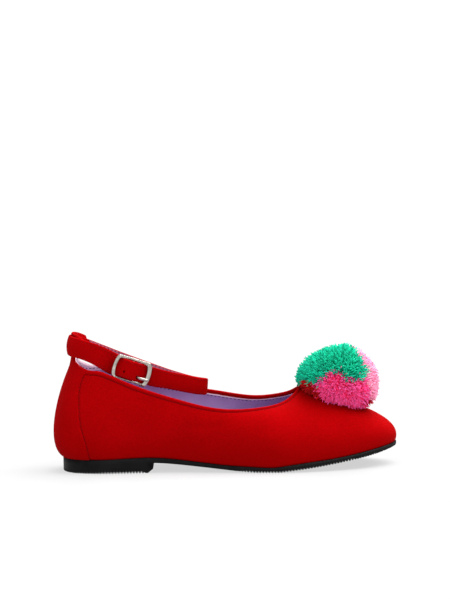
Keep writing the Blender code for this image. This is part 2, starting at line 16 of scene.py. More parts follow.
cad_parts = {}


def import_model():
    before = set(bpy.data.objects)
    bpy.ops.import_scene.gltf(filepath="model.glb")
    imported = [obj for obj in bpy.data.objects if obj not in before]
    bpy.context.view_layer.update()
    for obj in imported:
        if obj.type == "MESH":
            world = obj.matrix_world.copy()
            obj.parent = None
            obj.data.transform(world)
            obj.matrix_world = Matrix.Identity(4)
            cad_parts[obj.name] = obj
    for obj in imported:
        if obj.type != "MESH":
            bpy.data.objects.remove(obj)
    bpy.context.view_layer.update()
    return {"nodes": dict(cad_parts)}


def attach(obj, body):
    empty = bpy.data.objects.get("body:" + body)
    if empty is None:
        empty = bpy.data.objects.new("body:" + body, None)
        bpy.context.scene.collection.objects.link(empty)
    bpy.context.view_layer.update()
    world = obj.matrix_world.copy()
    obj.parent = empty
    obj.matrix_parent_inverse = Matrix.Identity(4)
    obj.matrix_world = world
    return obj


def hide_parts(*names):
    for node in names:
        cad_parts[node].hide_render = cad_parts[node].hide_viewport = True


MM = 0.001

# Driving sizes of the lasted form
LENGTH = 205.0
BALL_WIDTH = 70.0
COLLAR_HEIGHT = 62.0
HEEL_CENTRE = 31.0

# Wall, overlays and lining, with places round the collar in sections from the centre back
WALL = 1.6
GAP = 0.3
OVERLAY_STEP = 0.45
STEP_EASE = 0.3
BINDING_BACK = 2.3
BINDING_FRONT = 1.8
BINDING_NARROW = 6.0
BINDING_EASE = 4.0
BINDING_ROLL = 0.5
FOLD = 2.4
FOLD_START = 1.8
FOLD_EASE = 1.2
LINING = 0.3
LINING_EASE = 0.15
PALE_EDGE = 0.75
NECK_FACING = 3.2
GROOVE_DEPTH = 0.45
GROOVE_WIDTH = 0.36
GROOVE_OFFSET = 0.4
STRIP_GROOVE_OFFSET = 0.35
STRIP_STEP_EASE = 0.4
TUCK = 0.9

# Back strip, neck and heel tab, with widths counted in sections from the centre back
STRIP_COLUMN = 1.55
STRIP_EASE = 0.65
SECTION_SPAN = 17.0
NECK_HALF = 0.56
NECK_RISE = 8.0
TAB_HALF = 1.25
TAB_TOP_HALF = 1.36
TAB_RISE = 20.6
TAB_DROP = 3.4
TAB_FAN = 0.45
TAB_STEP_IN = 0.9
TAB_SETTLE = 4.0
TAB_LEAN = 0.11
TAB_ROLL = 1.3
TAB_ROLL_SHARE = 0.2

# Sole and insole
LEDGE = 0.5
EDGE_ROUND = 0.8
HEEL_FRONT = 56.8
BREAST_FRONT = 59.8
BREAST_CHAMFER = 2.2
BREAST_SLOPE = 0.3
BREAST_INSET = 1.6
BREAST_FACET = 4.5
RIB_PITCH = 1.8
RIB_DEPTH = 1.0
RIB_SQUARE = 0.8
HEEL_TREAD = 55.8
HEEL_TREAD_FADE = 2.0
TOE_TREAD = 108.0
TOE_TREAD_FADE = 8.0
TREAD_INSET = 2.0
SOLE_TOP_INSET = 0.6
JOINT_EDGE = 0.5
EDGE_STEPS = 5
SOLE_STEP = 0.3
STATION_SAMPLES = 4001
ACROSS_WEIGHT = 0.5
INSOLE = 1.8
INSOLE_GAP = 0.4
INSOLE_STEP = 1.5
INSOLE_COLUMNS = 15
INSOLE_ROUND = 6.0
INSOLE_EDGE = 0.25
HEEL_CUP = 0.5
HEEL_CUP_CENTRE = 30.0
HEEL_CUP_REACH = 22.0
HEEL_CUP_RISE = 1.6

# Strap
STRAP = 1.5
STRAP_WIDTH = 11.4
BUCKLE_STRAP_WIDTH = 11.2
STRAP_LIFT = 13.2
STRAP_OUTER_DROP = 1.5
STRAP_INNER_DROP = 3.0
STRAP_BACK_STEPS = 4
STRAP_EASE = 0.55
STRAP_CROWN = 0.3
BACK_CROWN = 0.8
BACK_WIDER = 0.06
BACK_REACH = 9.0
BACK_SEWN = 0.35
STRAP_STEP = 0.8
STRAP_COLUMNS = (0.0, 0.25, 0.5, 0.7, 0.8, 0.86, 0.92, 0.97, 1.0)
STRAP_ROUND = 0.12
STRAP_LINED = 0.93
STRAP_SEAM = 0.76
STRAP_GROOVE = 0.14
STRAP_GROOVE_WIDTH = 0.05
LINING_SEAM = 0.86

# Buckle
BUCKLE_CENTRE = (48.0, -14.2, 60.3)
BUCKLE_SLOPE = math.radians(18.5)
BUCKLE_TURN = math.radians(5.0)
FRAME_HALF_LENGTH = 10.5
FRAME_HALF_HEIGHT = 6.3
FRAME_ARCH = 2.7
FRAME_STEPS = 12
END_BAR_RADIUS = 1.05
RAIL_RADIUS = 0.75
FRONT_BAR = 1.35
UPPER_RAIL = 0.95
LOWER_RAIL = 0.65
BAR_DEPTH = 0.85
BAR_BLEND = 5
RIM_SQUARE = 0.6
RIM_TILT = 0.001
RIDGE_DEPTH = 0.12
RIDGE_PITCH = 1.1
BAR_SIDES = 16
CENTRE_BAR_RADIUS = 0.8
CENTRE_BAR_TAPER = 0.3
CENTRE_BAR_POINTS = 9
PRONG_RADIUS = 0.75
PRONG_WIDER = 1.15
PRONG_ACROSS = -2.8
PRONG_POINTS = 60
PRONG_SIDES = 14
PRONG_TIP = 0.97
PRONG_TIP_SPAN = 0.031
PRONG_TIP_END = 0.99

# Pompom
POMPOM_CENTRE = (171.0, -1.0, 51.6)
POMPOM_RADII = (23.6, 23.0, 18.6)
POMPOM_SWELL = 0.12

Section = namedtuple("Section", (
    "feather_x", "feather_outer", "feather_inner",
    "collar_x", "collar_outer", "collar_inner", "collar_outer_z", "collar_inner_z",
    "belly_out", "belly_up", "shoulder_out", "shoulder_down"))

# The lasted form from heel to toe. x is a share of LENGTH, half widths are shares of BALL_WIDTH,
# and heights and handle lengths are shares of COLLAR_HEIGHT. Outer is the lateral side.
# Columns: feather x, outer, inner; collar x, outer, inner, outer z, inner z; belly out, up;
# shoulder out, down.
SECTIONS = (
    Section(0.0290, 0.000, 0.000, 0.0518, 0.000, 0.000, 1.000, 1.000, 0.163, 0.090, 0.156, 0.339),
    Section(0.0575, 0.221, 0.221, 0.0713, 0.164, 0.164, 1.000, 1.000, 0.138, 0.110, 0.140, 0.323),
    Section(0.1380, 0.336, 0.329, 0.1327, 0.271, 0.271, 0.989, 0.996, 0.081, 0.161, 0.084, 0.274),
    Section(0.2550, 0.333, 0.303, 0.2390, 0.319, 0.314, 0.845, 0.868, 0.081, 0.194, 0.048, 0.210),
    Section(0.3910, 0.350, 0.280, 0.3660, 0.354, 0.340, 0.705, 0.765, 0.081, 0.194, 0.056, 0.177),
    Section(0.5220, 0.423, 0.347, 0.4820, 0.379, 0.357, 0.613, 0.700, 0.065, 0.177, 0.097, 0.145),
    Section(0.6488, 0.497, 0.476, 0.5795, 0.364, 0.336, 0.605, 0.648, 0.048, 0.194, 0.153, 0.105),
    Section(0.7707, 0.468, 0.493, 0.6500, 0.284, 0.270, 0.629, 0.663, 0.048, 0.210, 0.234, 0.097),
    Section(0.8829, 0.365, 0.414, 0.6900, 0.170, 0.170, 0.682, 0.702, 0.065, 0.210, 0.427, 0.134),
    Section(0.9640, 0.196, 0.278, 0.7110, 0.082, 0.086, 0.742, 0.747, 0.081, 0.210, 0.581, 0.169),
    Section(1.0000, -0.045, 0.045, 0.7170, -0.005, 0.005, 0.765, 0.765, 0.085, 0.210, 0.629, 0.185),
)
LAST_ROW = len(SECTIONS) - 1
ROUND = 2 * LAST_ROW
NUDGE = 0.01

SoleRow = namedtuple("SoleRow", ("along", "top", "thickness"))

# Side profile of the sole: share of LENGTH, height of its top and thickness ahead of the heel
SOLE = (
    SoleRow(0.00, 8.2, 2.9),
    SoleRow(0.14, 8.2, 2.9),
    SoleRow(0.31, 8.7, 3.0),
    SoleRow(0.43, 5.9, 2.6),
    SoleRow(0.50, 4.3, 2.6),
    SoleRow(0.575, 3.4, 3.2),
    SoleRow(0.64, 3.0, 3.3),
    SoleRow(0.68, 4.0, 3.5),
    SoleRow(0.74, 5.5, 3.6),
    SoleRow(0.81, 7.0, 3.2),
    SoleRow(0.87, 8.8, 3.1),
    SoleRow(0.925, 10.7, 3.1),
    SoleRow(1.00, 13.2, 2.3),
)

SeamRow = namedtuple("SeamRow", ("height", "sections"))

# Edge of the back strip: share of the wall's height, and sections from the centre back
STRIP_EDGE = (
    SeamRow(0.00, 1.700),
    SeamRow(0.23, 1.650),
    SeamRow(0.44, 1.525),
    SeamRow(0.62, 1.455),
    SeamRow(0.80, 1.430),
    SeamRow(0.88, 1.490),
    SeamRow(0.94, 1.620),
    SeamRow(1.00, 1.860),
)

NeckRow = namedtuple("NeckRow", ("sections", "rise"))

# Collar's edge beside the neck: sections from the centre back, and rise over the collar's base line
NECK_EDGE = (
    NeckRow(NECK_HALF, NECK_RISE),
    NeckRow(0.68, 5.2),
    NeckRow(0.82, 4.0),
    NeckRow(0.95, 3.0),
    NeckRow(1.10, 1.6),
    NeckRow(1.30, 0.0),
    NeckRow(1.50, -1.0),
    NeckRow(1.75, -1.1),
    NeckRow(2.00, -0.3),
    NeckRow(2.25, 0.0),
)

StrapRow = namedtuple("StrapRow", ("x", "y", "z", "width"))

# Centre line of the strap away from the buckle and the heel tab
STRAP_INNER_SIDE = (
    StrapRow(28.0, 17.2, 68.0, 11.2),
    StrapRow(41.0, 15.0, 63.0, 11.0),
    StrapRow(57.0, 12.6, 57.2, 10.6),
    StrapRow(73.0, 9.6, 51.9, 10.2),
    StrapRow(85.0, 6.4, 48.9, 10.0),
    StrapRow(91.2, 2.9, 48.2, 10.0),
)
STRAP_OUTER_SIDE = (
    StrapRow(91.8, -2.0, 48.5, 10.0),
    StrapRow(87.0, -6.2, 49.4, 10.1),
    StrapRow(78.0, -9.6, 51.7, 10.3),
    StrapRow(68.0, -12.0, 54.2, 10.5),
)
STRAP_OUTER_BACK = StrapRow(28.0, -17.0, 70.0, 12.0)

# A quarter of the buckle's rim from its end bar to its rail, in shares of the half length and height
FRAME_QUARTER = ((1.0, 0.0), (0.973, 0.5), (0.931, 0.8), (0.838, 1.0), (0.55, 1.024), (0.2, 1.032))
FRAME_CORNER = 0.838

# The strap's ends in the buckle: place along the buckle and height above its centre bar. Where the
# fixed end leaves the buckle it also has a place across and a width.
FIXED_END = ((-9.0, -3.6), (-5.0, -3.0), (-2.0, -2.2))
LOOP_RADIUS = CENTRE_BAR_RADIUS + GAP + STRAP / 2
LOOP_TURNS = (-90.0, -54.0, -18.0, 18.0, 54.0, 90.0)
FIXED_LEAVES = ((-2.6, 1.5, 0.0, 11.2), (-6.0, 0.0, 0.2, 11.8), (-10.5, -1.7, 0.4, 12.9))
FREE_END = ((14.5, 0.0), (10.5, 0.1), (8.4, 0.8), (5.4, 2.3), (2.0, 3.5),
            (-2.0, 3.5), (-5.4, 2.3), (-8.4, 0.8), (-10.5, 0.15), (-11.4, 0.1))

# The prong's path in the same two directions
PRONG_HOOK = (150.0, 190.0, 230.0, 270.0, 310.0, 345.0)
PRONG_HOOK_RADIUS = CENTRE_BAR_RADIUS + GAP + PRONG_RADIUS
PRONG_PATH = ((2.7, 0.9), (3.8, 2.0), (4.9, 3.5), (6.2, 4.4), (8.5, 4.5), (10.9, 4.6))

# Holes of the strap: place along and across the buckle, and radius
STRAP_HOLES = ((4.5, PRONG_ACROSS, 1.0), (-4.2, -1.9, 0.6))
PUNCH_HEIGHT = 4.0
PUNCH_LENGTH = 6.5
PUNCH_SIDES = 20

# Rows and columns of the upper's mesh: drops below the edge in shares of the binding, then shares
# of the wall that is left
COLUMNS_PER_SECTION = 12
SEAM_COLUMNS = (-0.09, -0.05, -0.03, -0.018, -0.008, 0.0, 0.008, 0.018, 0.03, 0.05, 0.09)
SEAM_COLUMN_ROOM = 0.02
NECK_COLUMN_ROOM = 0.03
EDGE_DROPS = (0.0, 0.1, 0.28, 0.5, 0.72, 0.88, 1.0, 1.08, 1.16, 1.26, 1.4, 1.6,
              1.72, 1.9, 2.1, 2.4, 2.8)
WALL_ROWS = 30
TAB_ROWS = 16
RIM_STEPS = 6
RIM_DROP = 0.95
WELD = 0.002

# Materials of the upper by number
SUEDE_FACE = 0
LINING_FACE = 1
CUT_FACE = 2

Crease = namedtuple("Crease", ("u", "t", "turn", "length", "width", "depth"))

# Soft folds of the suede: place round the shoe and up the wall, turn in degrees from level, half
# length, half width and depth in millimetres
CREASES = (
    Crease(4.6, 0.62, 24.0, 9.0, 2.6, 0.28),
    Crease(5.4, 0.50, 82.0, 11.0, 2.0, 0.16),
    Crease(5.9, 0.16, 86.0, 6.0, 2.2, 0.30),
    Crease(6.7, 0.22, 75.0, 8.0, 3.0, 0.22),
    Crease(3.2, 0.80, 15.0, 6.0, 2.2, 0.22),
    Crease(0.55, 0.62, 90.0, 12.0, 2.4, 0.25),
    Crease(15.2, 0.60, -20.0, 9.0, 2.6, 0.28),
    Crease(13.9, 0.22, 80.0, 7.0, 2.6, 0.25),
    Crease(19.45, 0.62, 90.0, 12.0, 2.4, 0.25),
    Crease(8.6, 0.34, 30.0, 8.0, 3.0, 0.22),
    Crease(11.4, 0.34, -30.0, 8.0, 3.0, 0.22),
)
WALL_SPAN = 50.0

Sewing = namedtuple("Sewing", ("thread", "pitch", "length", "radius"))

# Rows of stitches
SEWING = {
    "upper_thread": Sewing("red_thread", 2.1, 2.0, 0.22),
    "lining_thread": Sewing("dark_thread", 2.4, 1.5, 0.22),
    "strap_thread": Sewing("strap_thread", 2.2, 1.6, 0.17),
    "strap_lining_thread": Sewing("dark_thread", 2.4, 1.3, 0.24),
}
STITCH_SHARES = np.array((-1.0, -0.8, -0.4, 0.0, 0.4, 0.8, 1.0))
STITCH_STAND = 0.7
STITCH_DIP = 1.3
STITCH_BLUNT = 1.02
STITCH_SIDES = 6
TOPLINE_CLEAR = 0.22
TOPLINE_SAMPLES = 900
SEAM_SPAN = (0.03, 0.93)
SEAM_SAMPLES = 200
LINING_CLEAR = 0.2
LINING_DROP = 1.1
NECK_DROP = 0.6
LINING_SAMPLES = 1100
STRAP_SAMPLES = 500
STRAP_END_CLEAR = 1.0
LINED_START = 6.0
LINED_END = 30.0

# Yarn of the pompom
YARN_SEED = 7
YARN_ENDS = 3300
YARN_SPREAD = 0.025
YARN_CUT = 0.985
GREEN_LONGER = 0.04
YARN_LEAN = 0.65
YARN_UNEVEN = 0.013
YARN_ROOT = 0.68
YARN_POINTS = 4
YARN_SEAT = 0.4
YARN_TONE = 0.75
SEAT_REACH = 1.05
SEAT_LEAST = 0.2
FIBRES = 4
FIBRE_SIDES = 4
FIBRE_RADIUS = 0.4
FIBRE_TAPER = 0.6
FIBRE_SPLAY = 0.05
FIBRE_ROOT_SPLAY = 0.35
FIBRE_FAN = 0.65
FIBRE_CURL = 0.55
TUFT_DOME = 0.014
PATCH_BLUR = 0.05
CORE_SHARE = 0.86
CORE_DIVISIONS = 4
CORE_LUMP = 0.05
CORE_WAVES = (9.0, 8.0, 7.0)

PompomLobe = namedtuple("PompomLobe", ("x", "y", "z", "swell", "reach"))

# Full and hollow places of the pompom: direction from its centre, swell and reach in shares
POMPOM_LOBES = (
    PompomLobe(0.72, -0.40, -0.62, 0.14, 0.55),
    PompomLobe(-0.60, -0.30, 0.72, 0.04, 0.45),
    PompomLobe(0.20, -0.20, 0.95, 0.07, 0.35),
    PompomLobe(0.80, -0.10, 0.60, -0.03, 0.40),
    PompomLobe(-0.95, -0.20, 0.05, 0.02, 0.50),
)

YarnPatch = namedtuple("YarnPatch", ("x", "y", "z", "colour", "reach"))

# Patches of one yarn colour on the pompom: direction from its centre, colour and extra reach
YARN_PATCHES = (
    YarnPatch(-0.60, -0.60, 0.45, "green", 0.10),
    YarnPatch(0.05, -0.65, 0.75, "green", 0.10),
    YarnPatch(0.40, -0.85, 0.35, "green", -0.05),
    YarnPatch(-0.95, -0.10, 0.25, "green", 0.10),
    YarnPatch(-0.10, 0.40, 0.90, "green", 0.10),
    YarnPatch(-0.70, 0.65, 0.30, "green", 0.05),
    YarnPatch(-0.10, -0.95, -0.28, "hot_pink", 0.16),
    YarnPatch(0.40, -0.82, -0.36, "hot_pink", 0.06),
    YarnPatch(0.10, -0.50, -0.85, "hot_pink", 0.05),
    YarnPatch(-0.10, 0.90, -0.40, "hot_pink", 0.15),
    YarnPatch(0.93, -0.28, 0.00, "pale_pink", 0.16),
    YarnPatch(0.80, -0.10, 0.60, "pale_pink", 0.05),
    YarnPatch(0.75, 0.60, 0.10, "pale_pink", 0.10),
    YarnPatch(-0.90, -0.36, -0.33, "red", 0.08),
    YarnPatch(0.72, -0.45, -0.62, "red", -0.36),
    YarnPatch(-0.60, 0.40, -0.70, "red", 0.05),
)

# Dark and bright tones of the materials, from 0 to 255 on screen
YARNS = {
    "green": ((0, 124, 96), (14, 218, 174)),
    "hot_pink": ((255, 0, 88), (255, 104, 184)),
    "pale_pink": ((246, 120, 168), (255, 178, 206)),
    "red": ((112, 0, 6), (220, 8, 18)),
}
LEATHERS = {
    "lilac_lining": ((152, 121, 169), (169, 140, 188)),
    "strap_lining": ((170, 88, 110), (204, 124, 144)),
    "cut_edge": ((220, 184, 198), (238, 210, 220)),
}
THREADS = {
    "red_thread": ((92, 0, 3), (128, 1, 6)),
    "strap_thread": ((130, 0, 3), (158, 1, 6)),
    "dark_thread": ((48, 34, 70), (74, 56, 100)),
}
RUBBER = ((7, 7, 8), (16, 16, 17))
NICKEL = ((144, 139, 131), (194, 189, 181))

# Suede: places and tones of its colours, tint of its sheen, and painted shade that darkens it
# towards the sole, with the heights between which the painted shade fades and its depth
SUEDE = ((0.3, (122, 0, 1)), (0.6, (138, 0, 1)), (0.92, (147, 0, 2)), (1.0, (156, 0, 3)))
SUEDE_SHEEN = (255, 20, 20)
SUEDE_PAINTED_SHADE_LOW = 5.0
SUEDE_PAINTED_SHADE_HIGH = 24.0
SUEDE_PAINTED_SHADE_DEPTH = 0.3

# Light, floor and camera
FLOOR_RADIUS = 40.0
FLOOR_SIDES = 96
FLOOR_GREYS = (0.15, 0.17)
FLOOR_GLOW = 0.62
WORLD_BANDS = ((0.0, 1.0), (0.09, 1.0), (0.16, 0.3), (0.5, 0.34), (0.9, 0.8))
WORLD_STRENGTH = 1.05
SUNS = (
    ("key", 4.8, 60.0, (-0.45, -0.10, -1.0)),
    ("back", 1.2, 40.0, (-0.10, -0.90, -1.0)),
    ("fill", 1.5, 110.0, (0.05, 0.60, -0.7)),
)
SENSOR = 36.0
LENS = 140.0
CAMERA_SIGHT = 100.0
CAMERA_ELEVATION = 6.2
CAMERA_ROLL = -1.2
CAMERA_TARGET = (73.4, 0.0, 37.9)
CAMERA_DISTANCE = 1400.0
CAMERA_LIFT = 62.0

UP = np.array((0.0, 0.0, 1.0))
FORWARD = np.array((1.0, 0.0, 0.0))
STEEP = 0.9
LEANING = np.array((TAB_LEAN, 0.0, 1.0))


def unit(vectors):
    return vectors / np.linalg.norm(vectors, axis=-1, keepdims=True)


def smooth(values):
    """A soft step from 0 to 1 over values from 0 to 1."""
    held = np.clip(values, 0.0, 1.0)
    return held * held * (3.0 - 2.0 * held)


def bell(values):
    return np.exp(-np.square(values))


def distances(points):
    """Lengths along a line of points, counted from its first."""
    return np.concatenate(((0.0,), np.cumsum(np.linalg.norm(np.diff(points, axis=0), axis=1))))


def hermite(start, end, start_slope, end_slope, part):
    square = part * part
    cube = square * part
    return ((2 * cube - 3 * square + 1) * start + (3 * square - 2 * cube) * end
            + (cube - 2 * square + part) * start_slope + (cube - square) * end_slope)


def closed_spline(values):
    """A smooth closed curve through values at whole numbers of its parameter."""
    points = np.array(values, dtype=float)
    count = len(points)
    ties = np.eye(count) * 4.0
    for row in range(count):
        ties[row, row - 1] += 1.0
        ties[row, (row + 1) % count] += 1.0
    slopes = np.linalg.solve(ties, 3.0 * (np.roll(points, -1, 0) - np.roll(points, 1, 0)))

    def at(places):
        whole = np.floor(places)
        part = (np.asarray(places) - whole)[..., None]
        first = whole.astype(int) % count
        after = (first + 1) % count
        return hermite(points[first], points[after], slopes[first], slopes[after], part)

    return at


def open_spline(places, values):
    """A smooth curve through values at rising places, with straight ends."""
    places = np.array(places, dtype=float)
    points = np.array(values, dtype=float)
    slopes = np.gradient(points, places, axis=0)

    def at(place):
        first = np.clip(np.searchsorted(places, place) - 1, 0, len(places) - 2)
        after = first + 1
        span = places[after] - places[first]
        part = (np.asarray(place) - places[first]) / span
        if points.ndim > 1:
            span, part = span[..., None], part[..., None]
        return hermite(points[first], points[after], slopes[first] * span, slopes[after] * span, part)

    return at


def side_values(row, feather_y, collar_y, collar_z):
    tall = COLLAR_HEIGHT
    return (row.feather_x * LENGTH, feather_y * BALL_WIDTH,
            row.collar_x * LENGTH, collar_y * BALL_WIDTH, collar_z * tall,
            row.belly_out * tall, row.belly_up * tall, row.shoulder_out * tall, row.shoulder_down * tall)


def ring_controls():
    """Each section's values in order round the shoe: heel, outer side, toe, inner side."""
    outer = [side_values(row, -row.feather_outer, -row.collar_outer, row.collar_outer_z) for row in SECTIONS]
    inner = [side_values(row, row.feather_inner, row.collar_inner, row.collar_inner_z) for row in SECTIONS]
    return outer + inner[-2:0:-1]


ring = closed_spline(ring_controls())
sole_top = open_spline([row.along * LENGTH for row in SOLE], [row.top for row in SOLE])
sole_thickness = open_spline([row.along * LENGTH for row in SOLE], [row.thickness for row in SOLE])
strip_edge = open_spline([row.height for row in STRIP_EDGE], [row.sections for row in STRIP_EDGE])
neck_edge = open_spline([row.sections for row in NECK_EDGE], [row.rise for row in NECK_EDGE])


def outward(u, first):
    """Horizontal direction out of the shoe at places u of the feather (0) or the collar (2)."""
    step = ring(u + NUDGE) - ring(u - NUDGE)
    return unit(np.stack((step[..., first + 1], -step[..., first], np.zeros(step.shape[:-1])), -1))


def form(u, t):
    """Points of the form: u runs round the shoe by sections, t from feather (0) to collar (1)."""
    u, t = np.broadcast_arrays(np.asarray(u, float), np.asarray(t, float))
    values = ring(u)
    feather = np.stack((values[..., 0], values[..., 1], sole_top(values[..., 0]) + GAP), -1)
    collar = values[..., 2:5]
    collar_out = outward(u, 2)
    belly = feather + outward(u, 0) * values[..., 5:6] + UP * values[..., 6:7]
    shoulder = collar + collar_out * values[..., 7:8] - UP * values[..., 8:9]
    low = np.minimum(t, 1.0)[..., None]
    rest = 1.0 - low
    wall = (feather * rest ** 3 + belly * 3 * rest * rest * low
            + shoulder * 3 * rest * low * low + collar * low ** 3)
    rise = np.maximum(t - 1.0, 0.0)[..., None] * COLLAR_HEIGHT
    lean = TAB_STEP_IN * (1.0 - np.exp(-rise / TAB_SETTLE)) + TAB_LEAN * rise
    return wall - collar_out * lean + UP * rise


def form_normal(u, t):
    across = form(u + NUDGE, t) - form(u - NUDGE, t)
    along = form(u, t + NUDGE) - form(u, t - NUDGE)
    return unit(np.cross(across, along))


def back_distance(u):
    """Sections between place u and the centre back, with the side as its sign."""
    return (np.asarray(u) + LAST_ROW) % ROUND - LAST_ROW


def neck_height(u):
    """Height of the collar's edge above its base line, which rises into the neck at the back."""
    return neck_edge(np.clip(np.abs(back_distance(u)), NECK_HALF, NECK_EDGE[-1].sections))


def edge_speed(u):
    """Length of wall for each unit of t at the collar."""
    values = ring(u)
    return 3.0 * np.hypot(values[..., 7], values[..., 8])


def drop_height(u, drop):
    """The t values at a drop below the collar's edge."""
    rest = neck_height(u) - drop
    return 1.0 + np.maximum(rest, 0.0) / COLLAR_HEIGHT + np.minimum(rest, 0.0) / edge_speed(u)


def along_seam(u, t):
    """Places u moved along so that the back strip's column follows its curved edge."""
    away = back_distance(u)
    weight = np.maximum(0.0, 1.0 - np.abs(np.abs(away) - STRIP_COLUMN) / STRIP_EASE)
    return u + np.where(away < 0, -1.0, 1.0) * weight * (strip_edge(np.minimum(t, 1.0)) - STRIP_COLUMN)


def binding_width(u):
    share = smooth((BINDING_NARROW - np.abs(back_distance(u))) / BINDING_EASE)
    return BINDING_FRONT + (BINDING_BACK - BINDING_FRONT) * share


def fold_width(u):
    """Width of the red edge that is folded to the inside, which the lining covers at the back."""
    return FOLD * smooth((np.abs(back_distance(u)) - FOLD_START) / FOLD_EASE)


def crease_depth(u, t):
    total = np.zeros(np.broadcast(u, t).shape)
    for crease in CREASES:
        turn = math.radians(crease.turn)
        round_way = back_distance(u - crease.u) * SECTION_SPAN
        up_way = (t - crease.t) * WALL_SPAN
        along = round_way * math.cos(turn) + up_way * math.sin(turn)
        across = up_way * math.cos(turn) - round_way * math.sin(turn)
        total = total + crease.depth * bell(along / crease.length) * bell(across / crease.width)
    return total


def upper_columns():
    even = [step / COLUMNS_PER_SECTION for step in range(COLUMNS_PER_SECTION * ROUND)]
    room = max(SEAM_COLUMNS) + SEAM_COLUMN_ROOM
    kept = [u for u in even if abs(abs(back_distance(u)) - STRIP_COLUMN) > room]
    kept = [u for u in kept if abs(abs(back_distance(u)) - NECK_HALF) > NECK_COLUMN_ROOM]
    special = [STRIP_COLUMN + step for step in SEAM_COLUMNS] + [NECK_HALF]
    return np.array(sorted(kept + special + [ROUND - place for place in special]))


def wall_heights(columns):
    """The t values and drops below the edge of every row in every column, from the edge down."""
    u = columns[:, None]
    drops = RIM_DROP + (binding_width(u) - RIM_DROP) * np.array(EDGE_DROPS)
    near = drop_height(u, drops)
    rest = near[:, -1:] * (1.0 - np.arange(1, WALL_ROWS + 1) / WALL_ROWS)
    far_drops = drops[:, -1:] + (near[:, -1:] - rest) * edge_speed(u)
    return np.concatenate((near, rest), axis=1), np.concatenate((drops, far_drops), axis=1)


def overlay_lift(columns, drops):
    """Height of the binding and the back strip over the form, with the sewn grooves beside them."""
    width = binding_width(columns)
    below = smooth((drops - width) / STEP_EASE)
    rolled = 1.0 - BINDING_ROLL * np.square(2.0 * np.minimum(drops / width, 1.0) - 1.0)
    binding = OVERLAY_STEP * rolled * (1.0 - below)
    away = (np.abs(back_distance(columns)) - STRIP_COLUMN) * SECTION_SPAN
    beside = smooth((away + STRIP_STEP_EASE / 2) / STRIP_STEP_EASE)
    strip = OVERLAY_STEP * (1.0 - beside)
    binding_groove = bell((drops - width - GROOVE_OFFSET) / GROOVE_WIDTH) * beside
    strip_groove = bell((away - STRIP_GROOVE_OFFSET) / GROOVE_WIDTH) * below
    return np.maximum(binding, strip) - GROOVE_DEPTH * np.maximum(binding_groove, strip_groove)


def outer_skin(u, t, lift):
    return form(u, t) + form_normal(u, t) * (lift - crease_depth(u, t) * (t < 1.0))[..., None]


def placed(points):
    """Points of the form in metres, with the heel's centre as the origin."""
    return (np.asarray(points, float) - np.array((HEEL_CENTRE, 0.0, 0.0))) * MM


def linked(name, data):
    """A new object in the scene with this mesh, light or camera."""
    made = bpy.data.objects.new(name, data)
    bpy.context.scene.collection.objects.link(made)
    return made


def finished(build, name):
    """A smooth mesh object in the scene from a bmesh, with its faces turned outwards."""
    bmesh.ops.recalc_face_normals(build, faces=build.faces[:])
    mesh = bpy.data.meshes.new(name)
    build.to_mesh(mesh)
    build.free()
    mesh.shade_smooth()
    return linked(name, mesh)


class Wall:
    """Two matching skins joined by rounded rims along their free edges."""

    def __init__(self):
        self.outer = {}
        self.inner = {}
        self.rims = {}
        self.cells = []

    def add(self, key, outer, inner):
        self.outer[key] = outer
        self.inner[key] = inner

    def cell(self, corners, inside):
        """A face of both skins, with the number of the material on its inside."""
        self.cells.append((corners, inside))

    def free_edges(self):
        edges = {}
        for corners, _ in self.cells:
            for start, end in zip(corners, corners[1:] + corners[:1]):
                edges[(start, end)] = True
        return [edge for edge in edges if (edge[1], edge[0]) not in edges]

    def rim_ways(self, edges):
        """The direction out of the sheet, in its own plane, at each corner of a free edge."""
        ways = {}
        for start, end in edges:
            thickness = self.outer[start] - self.inner[start]
            way = np.cross(self.outer[end] - self.outer[start], thickness)
            for key in (start, end):
                ways[key] = ways.get(key, np.zeros(3)) + way
        return {key: unit(way) for key, way in ways.items()}

    def to_mesh(self, name, flat_keys):
        """A mesh of both skins, with rims that are round except at the flat keys."""
        build = bmesh.new()
        edges = self.free_edges()
        outer = {key: build.verts.new(placed(point)) for key, point in self.outer.items()}
        inner = {key: build.verts.new(placed(point)) for key, point in self.inner.items()}
        for corners, inside in self.cells:
            build.faces.new([outer[key] for key in corners])
            build.faces.new([inner[key] for key in reversed(corners)]).material_index = inside
        arcs = {}
        for key, way in self.rim_ways(edges).items():
            middle = self.rim_points(key, way * (key not in flat_keys))
            arcs[key] = [outer[key], *(build.verts.new(placed(point)) for point in middle), inner[key]]
        for start, end in edges:
            for step in range(RIM_STEPS):
                corners = (arcs[end][step], arcs[start][step], arcs[start][step + 1], arcs[end][step + 1])
                face = build.faces.new(corners)
                if step >= RIM_STEPS // 2:
                    face.material_index = self.rims.get(start, SUEDE_FACE)
        return finished(build, name)

    def rim_points(self, key, way):
        """Points of the half round between the two skins, bulging along way."""
        middle = (self.outer[key] + self.inner[key]) / 2
        half = self.outer[key] - middle
        bulge = way * np.linalg.norm(half)
        angles = [math.pi * step / RIM_STEPS for step in range(1, RIM_STEPS)]
        return [middle + half * math.cos(angle) + bulge * math.sin(angle) for angle in angles]


def inner_material(drop, fold):
    """Suede on the folded edge, the lining's pale cut edge below it, then the lining."""
    if drop <= fold:
        return SUEDE_FACE
    pale = PALE_EDGE + (NECK_FACING - PALE_EDGE) * (1.0 - fold / FOLD)
    return CUT_FACE if drop <= fold + pale else LINING_FACE


